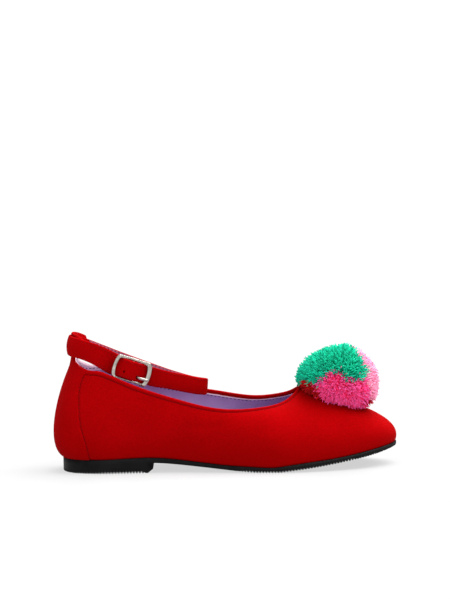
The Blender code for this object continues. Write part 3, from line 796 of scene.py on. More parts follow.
def build_upper():
    """The upper as one wall: suede outside, a folded edge and the lining inside, and the heel tab."""
    columns = upper_columns()
    folds = fold_width(columns)
    t, drops = wall_heights(columns)
    u = along_seam(columns[:, None], t)
    outer = outer_skin(u, t, overlay_lift(columns[:, None], drops))
    lined = smooth((drops - folds[:, None]) / LINING_EASE)
    normal = form_normal(u, t)
    normal[:, -1] = outward(u[:, -1], 0)
    inner = form(u, t) - normal * (WALL + LINING * lined)[..., None]
    wall = Wall()
    count, rows = t.shape
    for column in range(count):
        for row in range(rows):
            wall.add((column, row), outer[column, row], inner[column, row])
        wall.rims[(column, 0)] = SUEDE_FACE if folds[column] > FOLD / 2 else CUT_FACE
        tucked = outer[column, -1] - outward(u[column, -1], 0) * TUCK - UP * GAP
        wall.add((column, rows), tucked, inner[column, -1] - UP * GAP)
    for column in range(count):
        after = (column + 1) % count
        for row in range(rows):
            material = inner_material(drops[column, min(row + 1, rows - 1)], folds[column])
            wall.cell([(column, row), (column, row + 1), (after, row + 1), (after, row)], material)
    add_tab(wall, columns)
    return wall.to_mesh("upper_suede", {(column, rows) for column in range(count)})


def add_tab(wall, columns):
    """The heel tab above the neck, fanned out behind the strap."""
    neck = [index for index, u in enumerate(columns) if abs(back_distance(u)) < NECK_HALF + NUDGE]
    neck.sort(key=lambda index: back_distance(columns[index]))
    away = back_distance(columns[neck])[:, None]
    share = (np.arange(1, TAB_ROWS + 1) / TAB_ROWS)[None]
    wide = away * (1.0 + (TAB_TOP_HALF / NECK_HALF - 1.0) * smooth(share / TAB_FAN))
    top = TAB_RISE - RIM_DROP - TAB_DROP * np.abs(away / NECK_HALF) ** 3
    low = NECK_RISE - RIM_DROP
    t = 1.0 + (low + (top - low) * share) / COLLAR_HEIGHT
    normal = form_normal(wide, t)
    roll = normal * (TAB_ROLL * smooth((share - 1.0 + TAB_ROLL_SHARE) / TAB_ROLL_SHARE))[..., None]
    outer = form(wide, t) + normal * OVERLAY_STEP + roll
    inner = form(wide, t) - normal * WALL + roll
    for place, index in enumerate(neck):
        for level in range(TAB_ROWS):
            wall.add((index, -1 - level), outer[place, level], inner[place, level])
    for first, second in zip(neck, neck[1:]):
        for level in range(TAB_ROWS):
            corners = [(first, -1 - level), (first, -level), (second, -level), (second, -1 - level)]
            wall.cell(corners, SUEDE_FACE)


def loft(sections, name, materials=None, closed=False):
    """A solid through closed sections of equal point counts, with a material for each face of a ring."""
    build = bmesh.new()
    rings = [[build.verts.new(point) for point in section] for section in placed(sections)]
    count = len(rings[0])
    following = rings[1:] + rings[:1] if closed else rings[1:]
    for number, (here, there) in enumerate(zip(rings, following)):
        for corner in range(count):
            beside = (corner + 1) % count
            face = build.faces.new((here[corner], here[beside], there[beside], there[corner]))
            face.material_index = int(materials[number, corner]) if materials is not None else 0
    if not closed:
        build.faces.new(list(reversed(rings[0])))
        build.faces.new(rings[-1])
    bmesh.ops.remove_doubles(build, verts=build.verts[:], dist=WELD * MM)
    return finished(build, name)


def feather_line(u, inset):
    """Level points of the feather line at places u, moved in by inset."""
    points = ring(u)[..., :2]
    flat = np.concatenate((points, np.zeros(points.shape[:-1] + (1,))), -1)
    return flat - outward(u, 0) * np.asarray(inset)[..., None]


def sole_bottom(x):
    """Height of the sole's underside: flat under the heel and the ball, and arched between."""
    ahead = np.maximum(0.0, sole_top(x) - sole_thickness(x))
    chamfer = BREAST_CHAMFER * (x - HEEL_FRONT) / (BREAST_FRONT - HEEL_FRONT)
    share = np.clip((x - BREAST_FRONT) / BREAST_SLOPE, 0.0, 1.0)
    front = BREAST_CHAMFER + (ahead - BREAST_CHAMFER) * share
    return np.where(x <= HEEL_FRONT, 0.0, np.where(x <= BREAST_FRONT, chamfer, front))


def sole_stations(step):
    """Places along the outer side about one step apart in x, closer at the two ends."""
    dense = np.linspace(0.0, LAST_ROW, STATION_SAMPLES)
    points = ring(dense)[:, :2]
    run = distances(np.abs(points) * (1.0, ACROSS_WEIGHT))
    return np.append(np.interp(np.arange(0.0, run[-1], step), run, dense), float(LAST_ROW))


def rib_depths(run, treaded):
    """Depths of the squared ribs at distances along the sole."""
    return RIB_DEPTH * treaded * smooth(0.5 - RIB_SQUARE * np.cos(math.tau * run / RIB_PITCH))


def sole_side(u, x):
    """Rows of points down one side of the sole and a little way under it, at places u."""
    top = sole_top(x)
    bottom = sole_bottom(x)
    joint = top - sole_thickness(x)
    edge = np.minimum(EDGE_ROUND, (top - bottom) / 2)
    heel_tread = smooth((HEEL_TREAD - x) / HEEL_TREAD_FADE)
    treaded = np.maximum(heel_tread, smooth((x - TOE_TREAD) / TOE_TREAD_FADE))
    run = distances(feather_line(u, np.zeros(len(u))))
    foot = np.minimum(bottom + rib_depths(run, treaded), top - edge)
    profile = [(SOLE_TOP_INSET, top), (-LEDGE, top)]
    profile += [(-LEDGE, np.maximum(joint - drop, foot + edge)) for drop in (0.0, JOINT_EDGE)]
    for angle in np.linspace(0.0, math.pi / 2, EDGE_STEPS):
        profile.append((edge * (1.0 - math.cos(angle)) - LEDGE, foot + edge * (1.0 - math.sin(angle))))
    profile.append((TREAD_INSET, np.minimum(bottom + rib_depths(x, treaded), top - edge)))
    breast = BREAST_INSET * smooth((x - HEEL_FRONT + BREAST_INSET) / BREAST_FACET) * (x <= BREAST_FRONT)
    rows = []
    for inset, height in profile:
        low = np.clip((joint - height) / JOINT_EDGE, 0.0, 1.0)
        points = feather_line(u, inset + breast * low)
        points[:, 2] = height
        rows.append(points)
    return rows


def build_outsole():
    """The moulded sole: a toothed lower edge, and fine ribs across its heel and forefoot."""
    u = sole_stations(SOLE_STEP)
    x = ring(u)[:, 0]
    sections = np.stack(sole_side(u, x) + sole_side(-u, x)[::-1], axis=1)
    return loft(sections, "outsole_rubber")


def build_insole():
    """The lilac sock: a thin sheet with rounded edges, a little hollow under the heel."""
    u = sole_stations(INSOLE_STEP)
    x = ring(u)[:, 0]
    inset = np.full(len(u), WALL + INSOLE_GAP)
    outer = feather_line(u, inset)
    inner = feather_line(-u, inset)
    outer[:, 2] = sole_top(x) + GAP
    inner[:, 2] = outer[:, 2]
    cup = HEEL_CUP * bell((x - HEEL_CUP_CENTRE) / HEEL_CUP_REACH)
    rows = [outer]
    for share in np.linspace(0.0, 1.0, INSOLE_COLUMNS):
        edge = 1.0 - abs(2.0 * share - 1.0)
        thickness = INSOLE * np.sqrt(smooth(edge * INSOLE_ROUND) * (1.0 - INSOLE_EDGE) + INSOLE_EDGE)
        points = outer + (inner - outer) * share
        points[:, 2] += thickness - cup * smooth(edge * HEEL_CUP_RISE)
        rows.append(points)
    return loft(np.stack(rows + [inner], axis=1), "insole_leather")


def buckle_axes():
    """The buckle's directions: along the strap to the front, across it upwards, and outwards."""
    along = np.array((math.cos(BUCKLE_SLOPE) * math.cos(BUCKLE_TURN),
                      math.cos(BUCKLE_SLOPE) * math.sin(BUCKLE_TURN), -math.sin(BUCKLE_SLOPE)))
    out = np.array((math.sin(BUCKLE_TURN), -math.cos(BUCKLE_TURN), 0.0))
    return along, np.cross(out, along), out


def at_buckle(along, out, across=0.0):
    axes = buckle_axes()
    return np.array(BUCKLE_CENTRE) + axes[0] * along + axes[1] * across + axes[2] * out


def strap_round_tab():
    """Centre line of the strap round the outside of the heel tab, from outer to inner side."""
    rows = []
    stand = OVERLAY_STEP + GAP + STRAP / 2 + STRAP_EASE
    for step in range(STRAP_BACK_STEPS, -STRAP_BACK_STEPS - 1, -1):
        share = step / STRAP_BACK_STEPS
        u = np.array(share * TAB_HALF)
        drop = STRAP_OUTER_DROP if share > 0.0 else STRAP_INNER_DROP
        lift = STRAP_LIFT - drop * share * share
        point = form(u, 1.0 + lift / COLLAR_HEIGHT) + outward(u, 2) * stand
        rows.append((*point, STRAP_WIDTH))
    return rows


def round_bar(radius, angles):
    """Points round the centre bar at angles in degrees from the front."""
    turns = [math.radians(angle) for angle in angles]
    return [(radius * math.cos(turn), radius * math.sin(turn)) for turn in turns]


def buckle_rows(path):
    return [(*at_buckle(along, out), BUCKLE_STRAP_WIDTH) for along, out in path]


def strap_line():
    """Rows of x, y, z and width along the strap's centre line, and which of them lie in the buckle."""
    start = buckle_rows([*FIXED_END, *round_bar(LOOP_RADIUS, LOOP_TURNS)])
    start += [(*at_buckle(along, out, across), width) for along, out, across, width in FIXED_LEAVES]
    middle = [STRAP_OUTER_BACK, *strap_round_tab(), *STRAP_INNER_SIDE, *STRAP_OUTER_SIDE]
    end = buckle_rows(FREE_END)
    rows = np.array([tuple(row) for row in start + middle + end])
    held = np.array([1.0] * len(start) + [0.0] * len(middle) + [1.0] * len(end))
    return rows, held


class StrapPath:
    """The strap's centre line with its directions across the width and through the thickness."""

    def __init__(self):
        rows, held = strap_line()
        self.places = distances(rows[:, :3])
        self.curve = open_spline(self.places, rows)
        self.held = open_spline(self.places, held)

    def at(self, place):
        """Middle, half width vector, inward direction and share held flat by the buckle."""
        row = self.curve(place)
        heading = unit(self.curve(place + NUDGE)[..., :3] - self.curve(place - NUDGE)[..., :3])
        upright = unit(LEANING - heading * (heading @ LEANING)[..., None])
        share = np.clip(self.held(place), 0.0, 1.0)[..., None]
        across = unit(buckle_axes()[1] * share + upright * (1.0 - share))
        inward = unit(np.cross(heading, across))
        return row[..., :3], across * row[..., 3:4] / 2, inward, share


def strap_profile():
    """Points round the strap's section: share of the half width, side and thickness share."""
    steps = np.array(STRAP_COLUMNS)
    across = np.concatenate((-steps[:0:-1], steps))
    thick = np.sqrt(1.0 - np.square(np.clip((np.abs(across) - 1.0 + STRAP_ROUND) / STRAP_ROUND, 0.0, 1.0)))
    outer = [(v, -1.0, p) for v, p in zip(across, thick)]
    inner = [(v, 1.0, p) for v, p in zip(across[-2:0:-1], thick[-2:0:-1])]
    return outer + inner


def build_strap():
    """The strap as one band: suede outside and lining inside, with its holes punched."""
    path = StrapPath()
    end = path.places[-1]
    middle, half, inward, share = path.at(np.append(np.arange(0.0, end, STRAP_STEP), end))
    back = bell((middle[:, :1] - LENGTH * SECTIONS[0].collar_x) / BACK_REACH)
    rows = []
    materials = []
    for v, side, thick in strap_profile():
        crown = STRAP_CROWN * (1.0 - v * v) * (1.0 - share)
        groove = 0.0
        if side < 0:
            crown = crown + BACK_CROWN * (1.0 - v * v) * back
            groove = STRAP_GROOVE * bell((abs(v) - STRAP_SEAM) / STRAP_GROOVE_WIDTH)
        wide = half * v * (1.0 + BACK_WIDER * back)
        rows.append(middle + wide + inward * (side * (STRAP / 2 * thick - groove) - crown))
        lined = (back < BACK_SEWN) & (side > 0) & (abs(v) < STRAP_LINED)
        materials.append(lined[:, 0])
    strap = loft(np.stack(rows, axis=1), "strap_suede", np.stack(materials, axis=1))
    for along, across, radius in STRAP_HOLES:
        punch(strap, along, across, radius * MM)
    return strap


def punch(strap, along, across, radius):
    """Cut a round hole through the strap's free end in the buckle."""
    build = bmesh.new()
    turned = Matrix(np.column_stack(buckle_axes())).to_4x4()
    centre = Matrix.Translation(Vector(placed(at_buckle(along, PUNCH_HEIGHT, across))))
    bmesh.ops.create_cone(build, cap_ends=True, segments=PUNCH_SIDES, radius1=radius, radius2=radius,
                          depth=PUNCH_LENGTH * MM, matrix=centre @ turned)
    cutter = finished(build, "punch")
    step = strap.modifiers.new("hole", "BOOLEAN")
    step.operation = "DIFFERENCE"
    step.object = cutter
    shown = strap.evaluated_get(bpy.context.evaluated_depsgraph_get())
    mesh = bpy.data.meshes.new_from_object(shown)
    strap.modifiers.clear()
    strap.data = mesh
    bpy.data.objects.remove(cutter)


def rounded(value, power):
    """A circle's coordinate, moved out towards a square with round corners by a power below 1."""
    return math.copysign(abs(value) ** power, value)


def bar(points, first, second, name, sides=BAR_SIDES, power=1.0, closed=False):
    """A bar along points; first and second hold its half width and half depth as vectors."""
    rows = []
    for corner in range(sides):
        angle = math.tau * corner / sides
        across = first * rounded(math.cos(angle), power)
        rows.append(points + across + second * rounded(math.sin(angle), power))
    return loft(np.stack(rows, axis=1), name, closed=closed)


def build_rim():
    """The buckle's rim with flat end bars and finely ridged rails."""
    upper_half = FRAME_QUARTER + tuple((-along, across) for along, across in reversed(FRAME_QUARTER))
    outline = upper_half + tuple((-along, -across) for along, across in upper_half[1:-1])
    spots = closed_spline(outline)(np.arange(0.0, len(outline), 1.0 / FRAME_STEPS))
    place = spots[:, 0] * FRAME_HALF_LENGTH
    share = np.clip(np.abs(spots[:, 0]) / FRAME_CORNER, 0.0, 1.0)
    arch = FRAME_ARCH * share * share
    points = np.stack([at_buckle(*row) for row in zip(place, arch, spots[:, 1] * FRAME_HALF_HEIGHT)])
    bent = share ** BAR_BLEND
    end_bar = np.where(spots[:, 0] > 0, FRONT_BAR, END_BAR_RADIUS)
    rail = np.where(spots[:, 1] > 0, UPPER_RAIL, LOWER_RAIL)
    ridges = 1.0 + RIDGE_DEPTH * np.cos(math.tau * place / RIDGE_PITCH) * (1.0 - bent)
    widths = (rail + (end_bar - rail) * bent) * ridges
    depths = (RAIL_RADIUS + (BAR_DEPTH - RAIL_RADIUS) * bent) * ridges
    heading = unit(np.roll(points, -1, 0) - np.roll(points, 1, 0))
    _, upward, out = buckle_axes()
    across = unit(np.cross(heading, out + upward * RIM_TILT))
    deep = np.cross(heading, across)
    first = across * widths[:, None]
    return bar(points, first, deep * depths[:, None], "buckle_rim", power=RIM_SQUARE, closed=True)


def build_centre_bar():
    along, _, out = buckle_axes()
    reach = np.linspace(-1.0, 1.0, CENTRE_BAR_POINTS)
    points = np.stack([at_buckle(0.0, 0.0, across * FRAME_HALF_HEIGHT) for across in reach])
    radii = (CENTRE_BAR_RADIUS * (1.0 - CENTRE_BAR_TAPER * reach ** 4))[:, None]
    return bar(points, along * radii, out * radii, "buckle_centre_bar")


def build_prong():
    """The prong: a hook round the centre bar, then out through the strap to the front bar."""
    line = np.array(round_bar(PRONG_HOOK_RADIUS, PRONG_HOOK) + list(PRONG_PATH))
    lengths = distances(line)
    path = open_spline(lengths, line)(np.linspace(0.0, lengths[-1], PRONG_POINTS))
    points = np.stack([at_buckle(along, out, PRONG_ACROSS) for along, out in path])
    across = buckle_axes()[1]
    side = np.cross(unit(np.gradient(points, axis=0)), across)
    tip = (np.linspace(0.0, 1.0, PRONG_POINTS) - PRONG_TIP) / PRONG_TIP_SPAN
    radius = PRONG_RADIUS * np.sqrt(1.0 - np.clip(tip, 0.0, PRONG_TIP_END) ** 2)[:, None]
    return bar(points, across * PRONG_WIDER * radius, side * radius, "prong_rod", sides=PRONG_SIDES)


def tubes(name, lines, radii, sides, tones=None):
    """Many small closed tubes in one mesh: lines holds tube, point and x, y, z."""
    count, steps, _ = lines.shape
    heading = unit(lines[:, -1] - lines[:, 0])[:, None]
    aside = np.where(np.abs(heading[..., 2:3]) > STEEP, FORWARD, UP)
    first = unit(np.cross(heading, aside))[:, :, None]
    second = np.cross(heading[:, :, None], first)
    turns = (math.tau * np.arange(sides) / sides)[:, None]
    spokes = first * np.cos(turns) + second * np.sin(turns)
    points = placed(lines[:, :, None] + spokes * radii[..., None, None])
    index = np.arange(count * steps * sides).reshape(count, steps, sides)
    here = index[:, :-1]
    there = index[:, 1:]
    walls = np.stack((here, np.roll(here, -1, 2), np.roll(there, -1, 2), there), -1).reshape(-1, 4)
    caps = np.concatenate((index[:, -1], index[:, 0, ::-1]))
    mesh = bpy.data.meshes.new(name)
    mesh.from_pydata(points.reshape(-1, 3), [], walls.tolist() + caps.tolist())
    mesh.shade_smooth()
    if tones is not None:
        shade = mesh.attributes.new("tone", "FLOAT", "POINT")
        shade.data.foreach_set("value", np.repeat(tones, steps * sides))
    return linked(name, mesh)


def sew(name, rows):
    """Thread stitches along lines on surfaces; each row holds points and outward directions."""
    sewing = SEWING[name]
    stitches = []
    for points, normals in rows:
        run = distances(points)
        starts = np.arange(sewing.pitch / 2, run[-1] - sewing.pitch / 2, sewing.pitch)
        reach = starts[:, None] + STITCH_SHARES * sewing.length / 2
        spot = np.stack([np.interp(reach, run, points[:, axis]) for axis in range(3)], -1)
        away = np.stack([np.interp(reach, run, normals[:, axis]) for axis in range(3)], -1)
        stand = sewing.radius * (STITCH_STAND - STITCH_DIP * np.square(STITCH_SHARES))
        stitches.append(spot + unit(away) * stand[:, None])
    lines = np.concatenate(stitches)
    thickness = sewing.radius * np.sqrt(STITCH_BLUNT - np.square(STITCH_SHARES))
    return tubes(name, lines, np.broadcast_to(thickness, lines.shape[:2]), STITCH_SIDES)


def topline_row():
    """The stitches in the groove under the binding, from the back strip round the toe."""
    start = STRIP_COLUMN + TOPLINE_CLEAR
    u = np.linspace(start, ROUND - start, TOPLINE_SAMPLES)
    t = drop_height(u, binding_width(u) + GROOVE_OFFSET)
    return outer_skin(u, t, np.full(len(u), -GROOVE_DEPTH)), form_normal(u, t)


def seam_row(side):
    """The stitches beside the back strip's edge, from the sole up to the binding."""
    t = np.linspace(*SEAM_SPAN, SEAM_SAMPLES)
    column = np.full(len(t), side * (STRIP_COLUMN + GROOVE_OFFSET / SECTION_SPAN))
    u = along_seam(column, t)
    return outer_skin(u, t, np.full(len(t), -GROOVE_DEPTH)), form_normal(u, t)


def lining_row():
    """The stitches that hold the lining's edge, inside the collar."""
    start = NECK_HALF + LINING_CLEAR
    u = np.linspace(start, ROUND - start, LINING_SAMPLES)
    fold = fold_width(u)
    t = drop_height(u, fold + LINING_DROP + NECK_DROP * (1.0 - fold / FOLD))
    normal = form_normal(u, t)
    return form(u, t) - normal * (WALL + LINING), -normal


def strap_row(path, start, end, v, side):
    """A line along one face of the strap: v is its share of the half width."""
    middle, half, inward, share = path.at(np.linspace(start, end, STRAP_SAMPLES))
    crown = STRAP_CROWN * (1.0 - v * v) * (1.0 - share)
    return middle + half * v + inward * (side * STRAP / 2 - crown), inward * side


def build_stitches():
    path = StrapPath()
    start = path.places[len(FIXED_END) + len(LOOP_TURNS)]
    end = path.places[-1]
    rows = {
        "upper_thread": [topline_row(), seam_row(1.0), seam_row(-1.0)],
        "lining_thread": [lining_row()],
        "strap_thread": [strap_row(path, start, end - STRAP_END_CLEAR, v, -1.0)
                         for v in (-STRAP_SEAM, STRAP_SEAM)],
        "strap_lining_thread": [strap_row(path, start + LINED_START, end - LINED_END, v, 1.0)
                                for v in (-LINING_SEAM, LINING_SEAM)],
    }
    return {name: sew(name, rows[name]) for name in SEWING}


def pompom_body(rays):
    """Points of the pompom's outside, counted from its centre, along rays of unit length."""
    body = rays * np.array(POMPOM_RADII)
    body[..., 2] *= 1.0 + POMPOM_SWELL * rays[..., 0]
    for lobe in POMPOM_LOBES:
        away = np.linalg.norm(rays - unit(np.array(lobe[:3])), axis=-1, keepdims=True)
        body = body * (1.0 + lobe.swell * bell(away / lobe.reach))
    return body


def even_rays(count):
    """Directions spread evenly over a ball."""
    order = np.arange(count) + 0.5
    height = 1.0 - 2.0 * order / count
    turn = math.pi * (1.0 + math.sqrt(5.0)) * order
    level = np.sqrt(1.0 - height * height)
    return np.stack((level * np.cos(turn), level * np.sin(turn), height), -1)


def yarn_colours(rays, draws):
    """The yarn's number in YARNS at each ray: that of the nearest patch, with a ragged border."""
    patches = unit(np.array([patch[:3] for patch in YARN_PATCHES]))
    reach = np.array([patch.reach for patch in YARN_PATCHES])
    numbers = np.array([list(YARNS).index(patch.colour) for patch in YARN_PATCHES])
    blur = draws.normal(0.0, PATCH_BLUR, (len(rays), 1)) * (-1.0) ** np.arange(len(reach))
    away = np.arccos(np.clip(rays @ patches.T, -1.0, 1.0)) - reach + blur
    return numbers[np.argmin(away, axis=1)]


def seat_lengths(bodies, upper):
    """Shares of each ray that stay clear of the vamp below the pompom."""
    tree = BVHTree.FromPolygons([vert.co for vert in upper.data.vertices],
                                [face.vertices for face in upper.data.polygons])
    shares = np.ones(len(bodies))
    start = Vector(placed(POMPOM_CENTRE))
    for index, body in enumerate(bodies):
        reach = float(np.linalg.norm(body)) * MM
        hit = tree.ray_cast(start, Vector(body).normalized(), reach)[3]
        if hit is not None:
            shares[index] = max(SEAT_LEAST, (hit - YARN_SEAT * MM) / reach)
    return shares


def yarn_fibres(yarns, colours, upper, draws):
    """Lines and radii of the fibres: a small tuft at each yarn end, domed and fanned out."""
    longer = GREEN_LONGER * (colours == list(YARNS).index("green"))
    cuts = YARN_CUT + longer + draws.normal(0.0, YARN_UNEVEN, len(yarns))
    leans = draws.normal(0.0, YARN_LEAN, yarns.shape)
    rays = np.repeat(yarns, FIBRES, axis=0)
    splay = draws.normal(0.0, FIBRE_SPLAY, rays.shape)
    curls = np.repeat(leans, FIBRES, axis=0) + draws.normal(0.0, FIBRE_CURL, rays.shape)
    curls = curls - rays * (curls * rays).sum(axis=1, keepdims=True)
    bodies = pompom_body(unit(rays + splay * FIBRE_ROOT_SPLAY))
    dome = TUFT_DOME * np.square(splay / FIBRE_SPLAY).mean(axis=1)
    lengths = np.repeat(cuts, FIBRES) + draws.normal(0.0, YARN_UNEVEN, len(rays)) - dome
    lengths = np.minimum(lengths, seat_lengths(bodies * SEAT_REACH, upper) * SEAT_REACH)[:, None]
    shares = np.linspace(YARN_ROOT, 1.0, YARN_POINTS)
    bend = np.square((shares - YARN_ROOT) / (1.0 - YARN_ROOT))
    aside = curls + splay * POMPOM_RADII[0] * FIBRE_FAN
    lines = bodies[:, None] * (lengths * shares)[..., None] + aside[:, None] * (lengths * bend)[..., None]
    radii = np.broadcast_to(FIBRE_RADIUS * np.sqrt(1.0 - FIBRE_TAPER * bend ** 3), lines.shape[:2])
    return lines + np.array(POMPOM_CENTRE), radii


def build_pompom(upper):
    """Cut yarn ends, each a small tuft of fibres, standing out all round a soft core."""
    draws = np.random.default_rng(YARN_SEED)
    yarns = even_rays(YARN_ENDS)
    yarns = unit(yarns + draws.normal(0.0, YARN_SPREAD, yarns.shape))
    colours = yarn_colours(yarns, draws)
    lines, radii = yarn_fibres(yarns, colours, upper, draws)
    yarn_tones = np.repeat(draws.uniform(0.0, YARN_TONE, len(yarns)), FIBRES)
    tones = yarn_tones + draws.uniform(0.0, 1.0 - YARN_TONE, len(lines))
    owner = np.repeat(colours, FIBRES)
    made = {"core": build_core(draws)}
    for number, name in enumerate(YARNS):
        chosen = owner == number
        made[name] = tubes("yarn_" + name, lines[chosen], radii[chosen], FIBRE_SIDES, tones[chosen])
    return made


def build_core(draws):
    """The tied middle of the pompom, seen only as dark depth between the yarn ends."""
    build = bmesh.new()
    bmesh.ops.create_icosphere(build, subdivisions=CORE_DIVISIONS, radius=1.0)
    rays = unit(np.array([vert.co for vert in build.verts]))
    waves = rays * np.array(CORE_WAVES)
    lumps = 1.0 + CORE_LUMP * np.sin(waves[:, 0]) * np.sin(waves[:, 1] + waves[:, 2])
    points = placed(np.array(POMPOM_CENTRE) + pompom_body(rays) * CORE_SHARE * lumps[:, None])
    middles = unit(np.array([face.calc_center_median() for face in build.faces]))
    for face, colour in zip(build.faces, yarn_colours(middles, draws)):
        face.material_index = int(colour)
    for vert, point in zip(build.verts, points):
        vert.co = point
    return finished(build, "pompom_core")


def paint(red, green, blue):
    """A colour given from 0 to 255 on screen, as the linear values that shaders take."""
    values = np.array((red, green, blue)) / 255.0
    linear = np.where(values <= 0.04045, values / 12.92, ((values + 0.055) / 1.055) ** 2.4)
    return (*linear, 1.0)


def grey(value):
    return (value, value, value, 1.0)


def set_stops(ramp, stops):
    """Give a colour ramp its stops, each a place and a colour."""
    band = ramp.color_ramp.elements
    while len(band) < len(stops):
        band.new(0.5)
    for element, (place, colour) in zip(band, stops):
        element.position = place
        element.color = colour


class Finish:
    """A node material in the making, with textures in the shoe's own size."""

    def __init__(self, name, roughness, metallic=0.0):
        self.material = bpy.data.materials.new(name)
        self.material.use_nodes = True
        self.nodes = self.material.node_tree.nodes
        self.shader = self.nodes["Principled BSDF"]
        self.shader.inputs["Roughness"].default_value = roughness
        self.shader.inputs["Metallic"].default_value = metallic
        self.place = self.nodes.new("ShaderNodeTexCoord").outputs["Object"]

    def link(self, start, end):
        self.material.node_tree.links.new(start, end)

    def node(self, kind, source, socket, **values):
        """A new node fed by a source, with values on inputs whose names have _ for a space."""
        made = self.nodes.new(kind)
        self.link(source, made.inputs[socket])
        for name, value in values.items():
            made.inputs[name.replace("_", " ")].default_value = value
        return made

    def noise(self, size, detail=3.0, rough=0.5):
        """Cloudy values with lumps of about this size in millimetres."""
        made = self.node("ShaderNodeTexNoise", self.place, "Vector",
                         Scale=1.0 / (size * MM), Detail=detail, Roughness=rough)
        return made.outputs["Fac"]

    def cells(self, size):
        made = self.node("ShaderNodeTexVoronoi", self.place, "Vector", Scale=1.0 / (size * MM))
        made.feature = "SMOOTH_F1"
        return made.outputs["Distance"]

    def painted_shade_by_height(self, low, high, reach):
        """Values that rise with height from -reach at low to 0 at high, in millimetres, for painted shade.
        """
        split = self.node("ShaderNodeSeparateXYZ", self.place, "Vector")
        made = self.node("ShaderNodeMapRange", split.outputs["Z"], "Value",
                         From_Min=low * MM, From_Max=high * MM, To_Min=-reach, To_Max=0.0)
        return made.outputs["Result"]

    def attribute(self, name):
        made = self.nodes.new("ShaderNodeAttribute")
        made.attribute_name = name
        return made.outputs["Fac"]

    def add(self, first, second, weight):
        """The first value and the second by its weight."""
        made = self.nodes.new("ShaderNodeMath")
        made.operation = "MULTIPLY_ADD"
        made.inputs[1].default_value = weight
        self.link(second, made.inputs[0])
        self.link(first, made.inputs[2])
        return made.outputs["Value"]

    def colour(self, source, stops):
        """Base colours by the source's value; each stop is a place and a colour."""
        ramp = self.node("ShaderNodeValToRGB", source, "Fac")
        set_stops(ramp, stops)
        self.link(ramp.outputs["Color"], self.shader.inputs["Base Color"])

    def rough(self, source, low, high):
        made = self.node("ShaderNodeMapRange", source, "Value", To_Min=low, To_Max=high)
        self.link(made.outputs["Result"], self.shader.inputs["Roughness"])

    def bump(self, height, depth, strength):
        made = self.node("ShaderNodeBump", height, "Height", Distance=depth * MM, Strength=strength)
        self.link(made.outputs["Normal"], self.shader.inputs["Normal"])

    def sheen(self, weight, roughness, tint):
        self.shader.inputs["Sheen Weight"].default_value = weight
        self.shader.inputs["Sheen Roughness"].default_value = roughness
        self.shader.inputs["Sheen Tint"].default_value = tint


def suede(name):
    """Brushed suede: soft nap patches, a fine mottle, a short fibre bump and painted shade darker towards
    the sole.
    """
    made = Finish(name, roughness=0.95)
    nap = made.noise(size=22.0, detail=1.0)
    mottle = made.noise(size=0.9, detail=4.0, rough=0.65)
    fibre = made.noise(size=0.32, detail=2.0, rough=0.6)
    mixed = made.add(made.add(mottle, nap, weight=0.35), fibre, weight=0.5)
    # Painted shade: the colour darkens towards the sole, where the wall gets less light.
    foot = made.painted_shade_by_height(SUEDE_PAINTED_SHADE_LOW, SUEDE_PAINTED_SHADE_HIGH, SUEDE_PAINTED_SHADE_DEPTH)
    made.colour(made.add(mixed, foot, weight=1.0), [(place, paint(*tone)) for place, tone in SUEDE])
    made.bump(made.add(mottle, fibre, weight=0.6), depth=0.12, strength=0.4)
    made.shader.inputs["Specular IOR Level"].default_value = 0.02
    made.sheen(weight=0.04, roughness=0.4, tint=paint(*SUEDE_SHEEN))
    return made.material


def leather(name, dark, bright):
    """Smooth lining leather with a fine pebble grain."""
    made = Finish(name, roughness=0.5)
    made.colour(made.noise(size=9.0, detail=4.0), ((0.1, paint(*dark)), (0.9, paint(*bright))))
    pebble = made.cells(size=0.8)
    made.rough(pebble, low=0.42, high=0.62)
    made.bump(made.add(pebble, made.noise(size=0.25), weight=0.3), depth=0.12, strength=0.5)
    return made.material


def rubber(name, dark, bright):
    made = Finish(name, roughness=0.5)
    made.shader.inputs["Specular IOR Level"].default_value = 0.08
    grain = made.noise(size=0.5)
    made.colour(made.noise(size=7.0), ((0.3, paint(*dark)), (0.7, paint(*bright))))
    made.rough(grain, low=0.4, high=0.62)
    made.bump(grain, depth=0.06, strength=0.5)
    return made.material


def nickel(name, dark, bright):
    made = Finish(name, roughness=0.2, metallic=1.0)
    smear = made.noise(size=2.2, detail=4.0)
    made.colour(smear, ((0.3, paint(*dark)), (0.7, paint(*bright))))
    made.rough(smear, low=0.12, high=0.3)
    made.bump(made.noise(size=0.6, detail=2.0), depth=0.03, strength=0.4)
    return made.material


def yarn(name, dark, bright):
    """Dyed yarn with a tone of its own for each fibre."""
    made = Finish(name, roughness=0.85)
    fuzz = made.noise(size=0.25, detail=2.0)
    mixed = made.add(made.attribute("tone"), fuzz, weight=0.35)
    made.colour(mixed, ((0.1, paint(*dark)), (1.0, paint(*bright))))
    made.bump(fuzz, depth=0.08, strength=0.6)
    made.shader.inputs["Specular IOR Level"].default_value = 0.2
    made.sheen(weight=0.15, roughness=0.4, tint=paint(*bright))
    return made.material


def thread(name, dark, bright):
    made = Finish(name, roughness=0.8)
    made.shader.inputs["Specular IOR Level"].default_value = 0.1
    twist = made.noise(size=0.2, detail=2.0)
    made.colour(twist, ((0.3, paint(*dark)), (0.7, paint(*bright))))
    made.bump(twist, depth=0.05, strength=0.6)
    return made.material


def floor_finish(dark, bright):
    made = Finish("floor_paper", roughness=0.9)
    made.colour(made.noise(size=30.0, detail=2.0), ((0.2, grey(dark)), (0.8, grey(bright))))
    made.shader.inputs["Specular IOR Level"].default_value = 0.0
    made.shader.inputs["Emission Color"].default_value = grey(1.0)
    made.shader.inputs["Emission Strength"].default_value = FLOOR_GLOW
    return made.material


def build_floor():
    """A wide round sheet of paper under the shoe."""
    build = bmesh.new()
    bmesh.ops.create_circle(build, cap_ends=True, segments=FLOOR_SIDES, radius=FLOOR_RADIUS)
    floor = finished(build, "floor")
    if floor.data.polygons[0].normal.z < 0:
        floor.data.flip_normals()
    floor.data.materials.append(floor_finish(*FLOOR_GREYS))


